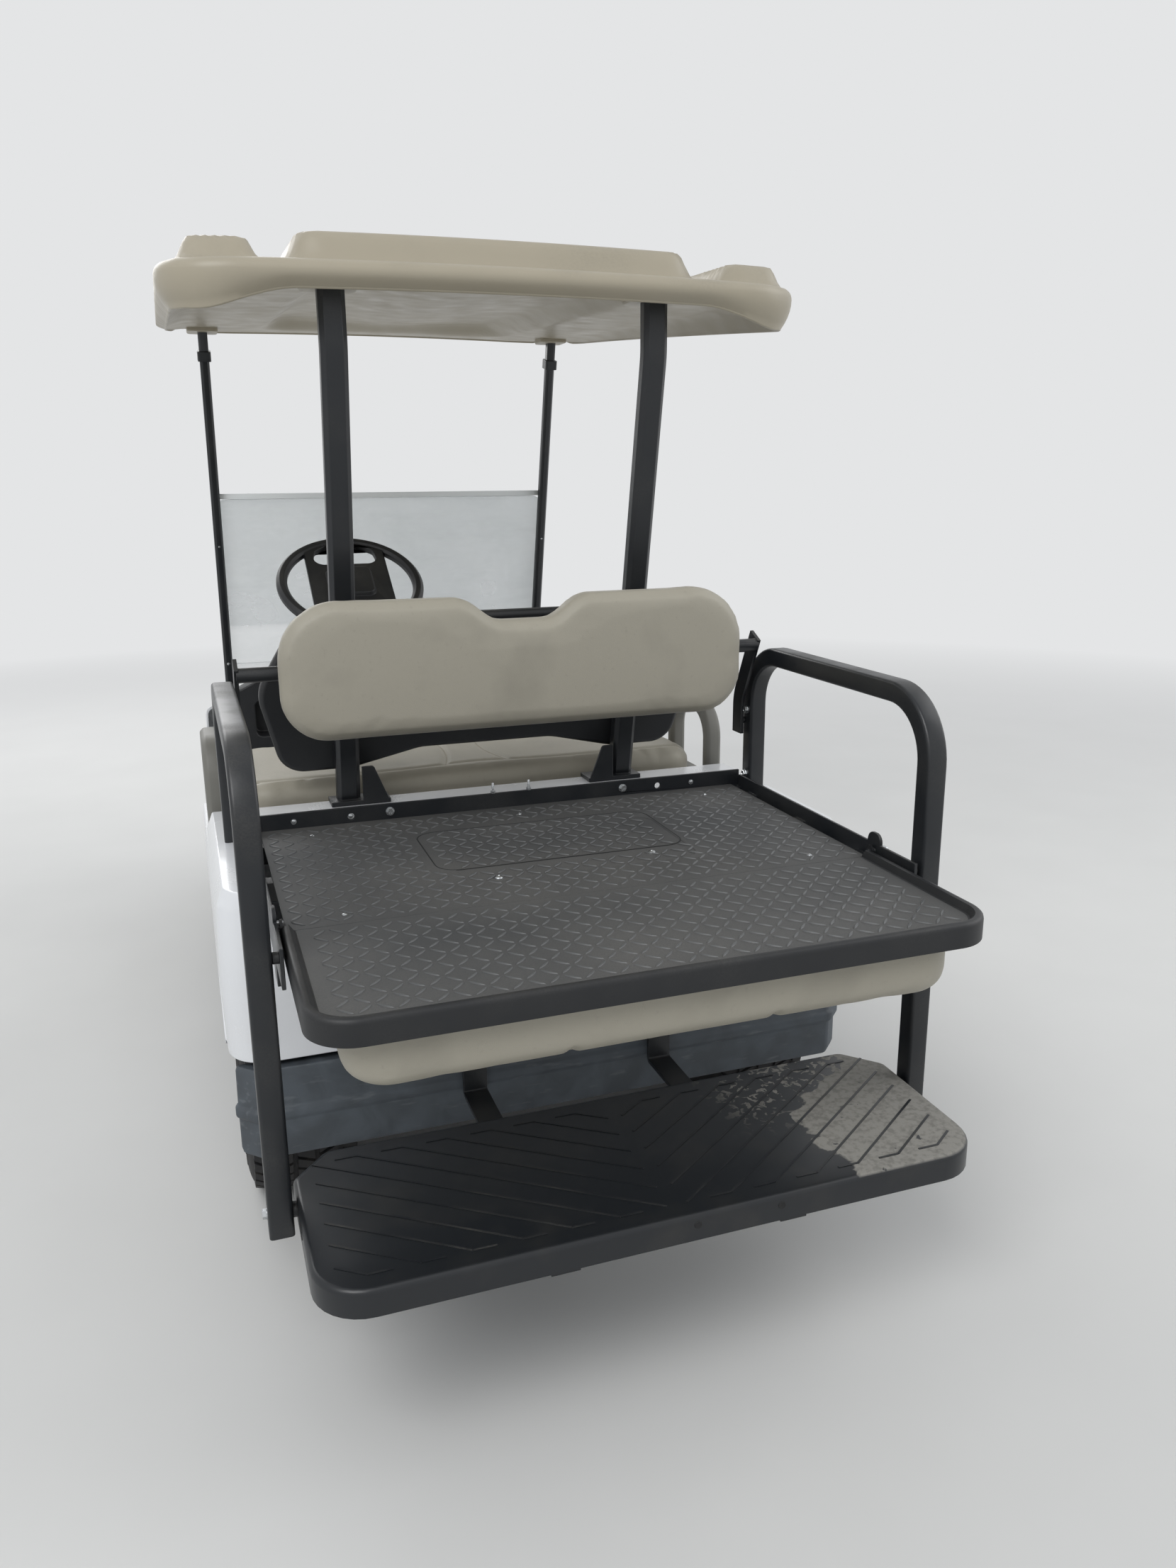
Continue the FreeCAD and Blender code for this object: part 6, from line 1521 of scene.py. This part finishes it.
class CART_OT_stage(CartOperator):
    """Pale floor, soft light and the camera at the photograph's angle"""

    bl_idname = "cart.stage"
    bl_label = "Stage"

    def execute(self, context):
        scene = context.scene
        scene.view_settings.view_transform = "Standard"
        bpy.ops.mesh.primitive_plane_add(size=FLOOR_SIZE, location=(0, 0, 0))
        floor = context.object
        floor.name = "floor"
        floor.data.materials.append(self.floor_material())
        self.world(scene)
        for lamp in LAMPS:
            self.lamp(*lamp)
        self.camera(scene)
        return {"FINISHED"}

    def seen_directly(self, tree):
        """1 for what the camera, gloss and glass see, 0 for the rays that carry soft light."""
        rays = add(tree, "LightPath").outputs
        direct = calc(tree, "MAXIMUM", rays["Is Camera Ray"], rays["Is Glossy Ray"])
        return calc(tree, "MAXIMUM", direct, rays["Is Transmission Ray"])

    def floor_material(self):
        """Matt pale paint that runs out into the backdrop's tone a few metres from the cart."""
        material, tree, shader = finish("pale_floor", linear(FLOOR_TONE), 0.9)
        tree.links.new(mix(tree, ramp(tree, speckle(tree, 400.0), 0.3, 0.7), linear(FLOOR_TONE),
                           darker(linear(FLOOR_TONE), 0.97)), shader.inputs["Base Color"])
        reach = add(tree, "VectorMath", {"Vector": object_place(tree)}, operation="LENGTH").outputs["Value"]
        far = ramp(tree, reach, FLOOR_FADE[0], FLOOR_FADE[1])
        share = calc(tree, "MULTIPLY", self.seen_directly(tree), far)
        glow = add(tree, "Emission", {"Color": (*linear(BACKDROP_TONE), 1), "Strength": 1.0}).outputs[0]
        paint = add(tree, "MixShader", {0: share, 1: shader.outputs[0], 2: glow}).outputs[0]
        tree.links.new(paint, tree.nodes["Material Output"].inputs["Surface"])
        return material

    def world(self, scene):
        """Soft surrounding light, and a plain pale backdrop for the camera, gloss and glass."""
        world = bpy.data.worlds.new("studio")
        world.use_nodes = True
        scene.world = world
        tree = world.node_tree
        tree.nodes.clear()
        light, backdrop = (
            add(tree, "Background", {"Color": (*linear(tone), 1), "Strength": power}).outputs[0]
            for tone, power in ((SKY_TONE, WORLD_STRENGTH), (BACKDROP_TONE, 1.0)))
        lit = add(tree, "MixShader", {0: self.seen_directly(tree), 1: light, 2: backdrop}).outputs[0]
        out = tree.nodes.new("ShaderNodeOutputWorld")
        tree.links.new(lit, out.inputs["Surface"])

    def lamp(self, name, place, size, power):
        """A large square lamp that points at the cart's middle."""
        data = bpy.data.lights.new(name, "AREA")
        data.size = size
        data.energy = power
        item = bpy.data.objects.new(name, data)
        item.location = place
        item.rotation_euler = (LAMP_AIM - Vector(place)).to_track_quat("-Z", "Y").to_euler()
        bpy.context.scene.collection.objects.link(item)

    def camera(self, scene):
        """A hand-held camera behind the cart's left corner, a little nose down."""
        yaw, pitch, roll = (math.radians(a) for a in (CAMERA_YAW, CAMERA_PITCH, CAMERA_ROLL))
        ahead = Vector((-math.sin(yaw) * math.cos(pitch), -math.cos(yaw) * math.cos(pitch), -math.sin(pitch)))
        right = Vector((-math.cos(yaw), math.sin(yaw), 0))
        down = ahead.cross(right)
        cos, sin = math.cos(roll), math.sin(roll)
        right, down = cos * right + sin * down, cos * down - sin * right
        data = bpy.data.cameras.new("camera")
        data.lens = CAMERA_LENS
        data.sensor_width = SENSOR_WIDTH
        item = bpy.data.objects.new("camera", data)
        axes = Matrix((right, -down, -ahead)).transposed()
        item.matrix_world = Matrix.Translation(CAMERA_PLACE) @ axes.to_4x4()
        scene.collection.objects.link(item)
        scene.camera = item


class CART_PT_panel(bpy.types.Panel):
    """The cart's sizes, colours and steps in the sidebar"""

    bl_idname = "CART_PT_panel"
    bl_label = "Golf cart"
    bl_space_type = "VIEW_3D"
    bl_region_type = "UI"
    bl_category = "Cart"

    def draw(self, context):
        for group in (context.scene.cart_sizes, context.scene.cart_colours):
            column = self.layout.column(align=True)
            for name in group.__annotations__:
                column.prop(group, name)
        for item in OPERATORS:
            self.layout.operator(item.bl_idname)


OPERATORS = (CART_OT_frame, CART_OT_shells, CART_OT_tyres, CART_OT_cushions, CART_OT_decks,
             CART_OT_foot_plate, CART_OT_hoops, CART_OT_roof, CART_OT_fittings, CART_OT_stage)
CLASSES = (CartSizes, CartColours, *OPERATORS, CART_PT_panel)


def register():
    for item in CLASSES:
        bpy.utils.register_class(item)
    bpy.types.Scene.cart_sizes = PointerProperty(type=CartSizes)
    bpy.types.Scene.cart_colours = PointerProperty(type=CartColours)


def unregister():
    del bpy.types.Scene.cart_colours
    del bpy.types.Scene.cart_sizes
    for item in reversed(CLASSES):
        bpy.utils.unregister_class(item)


def main():
    """Build every piece in order."""
    register()
    for item in OPERATORS:
        group, name = item.bl_idname.split(".")
        getattr(getattr(bpy.ops, group), name)()


if __name__ == "__main__":
    main()
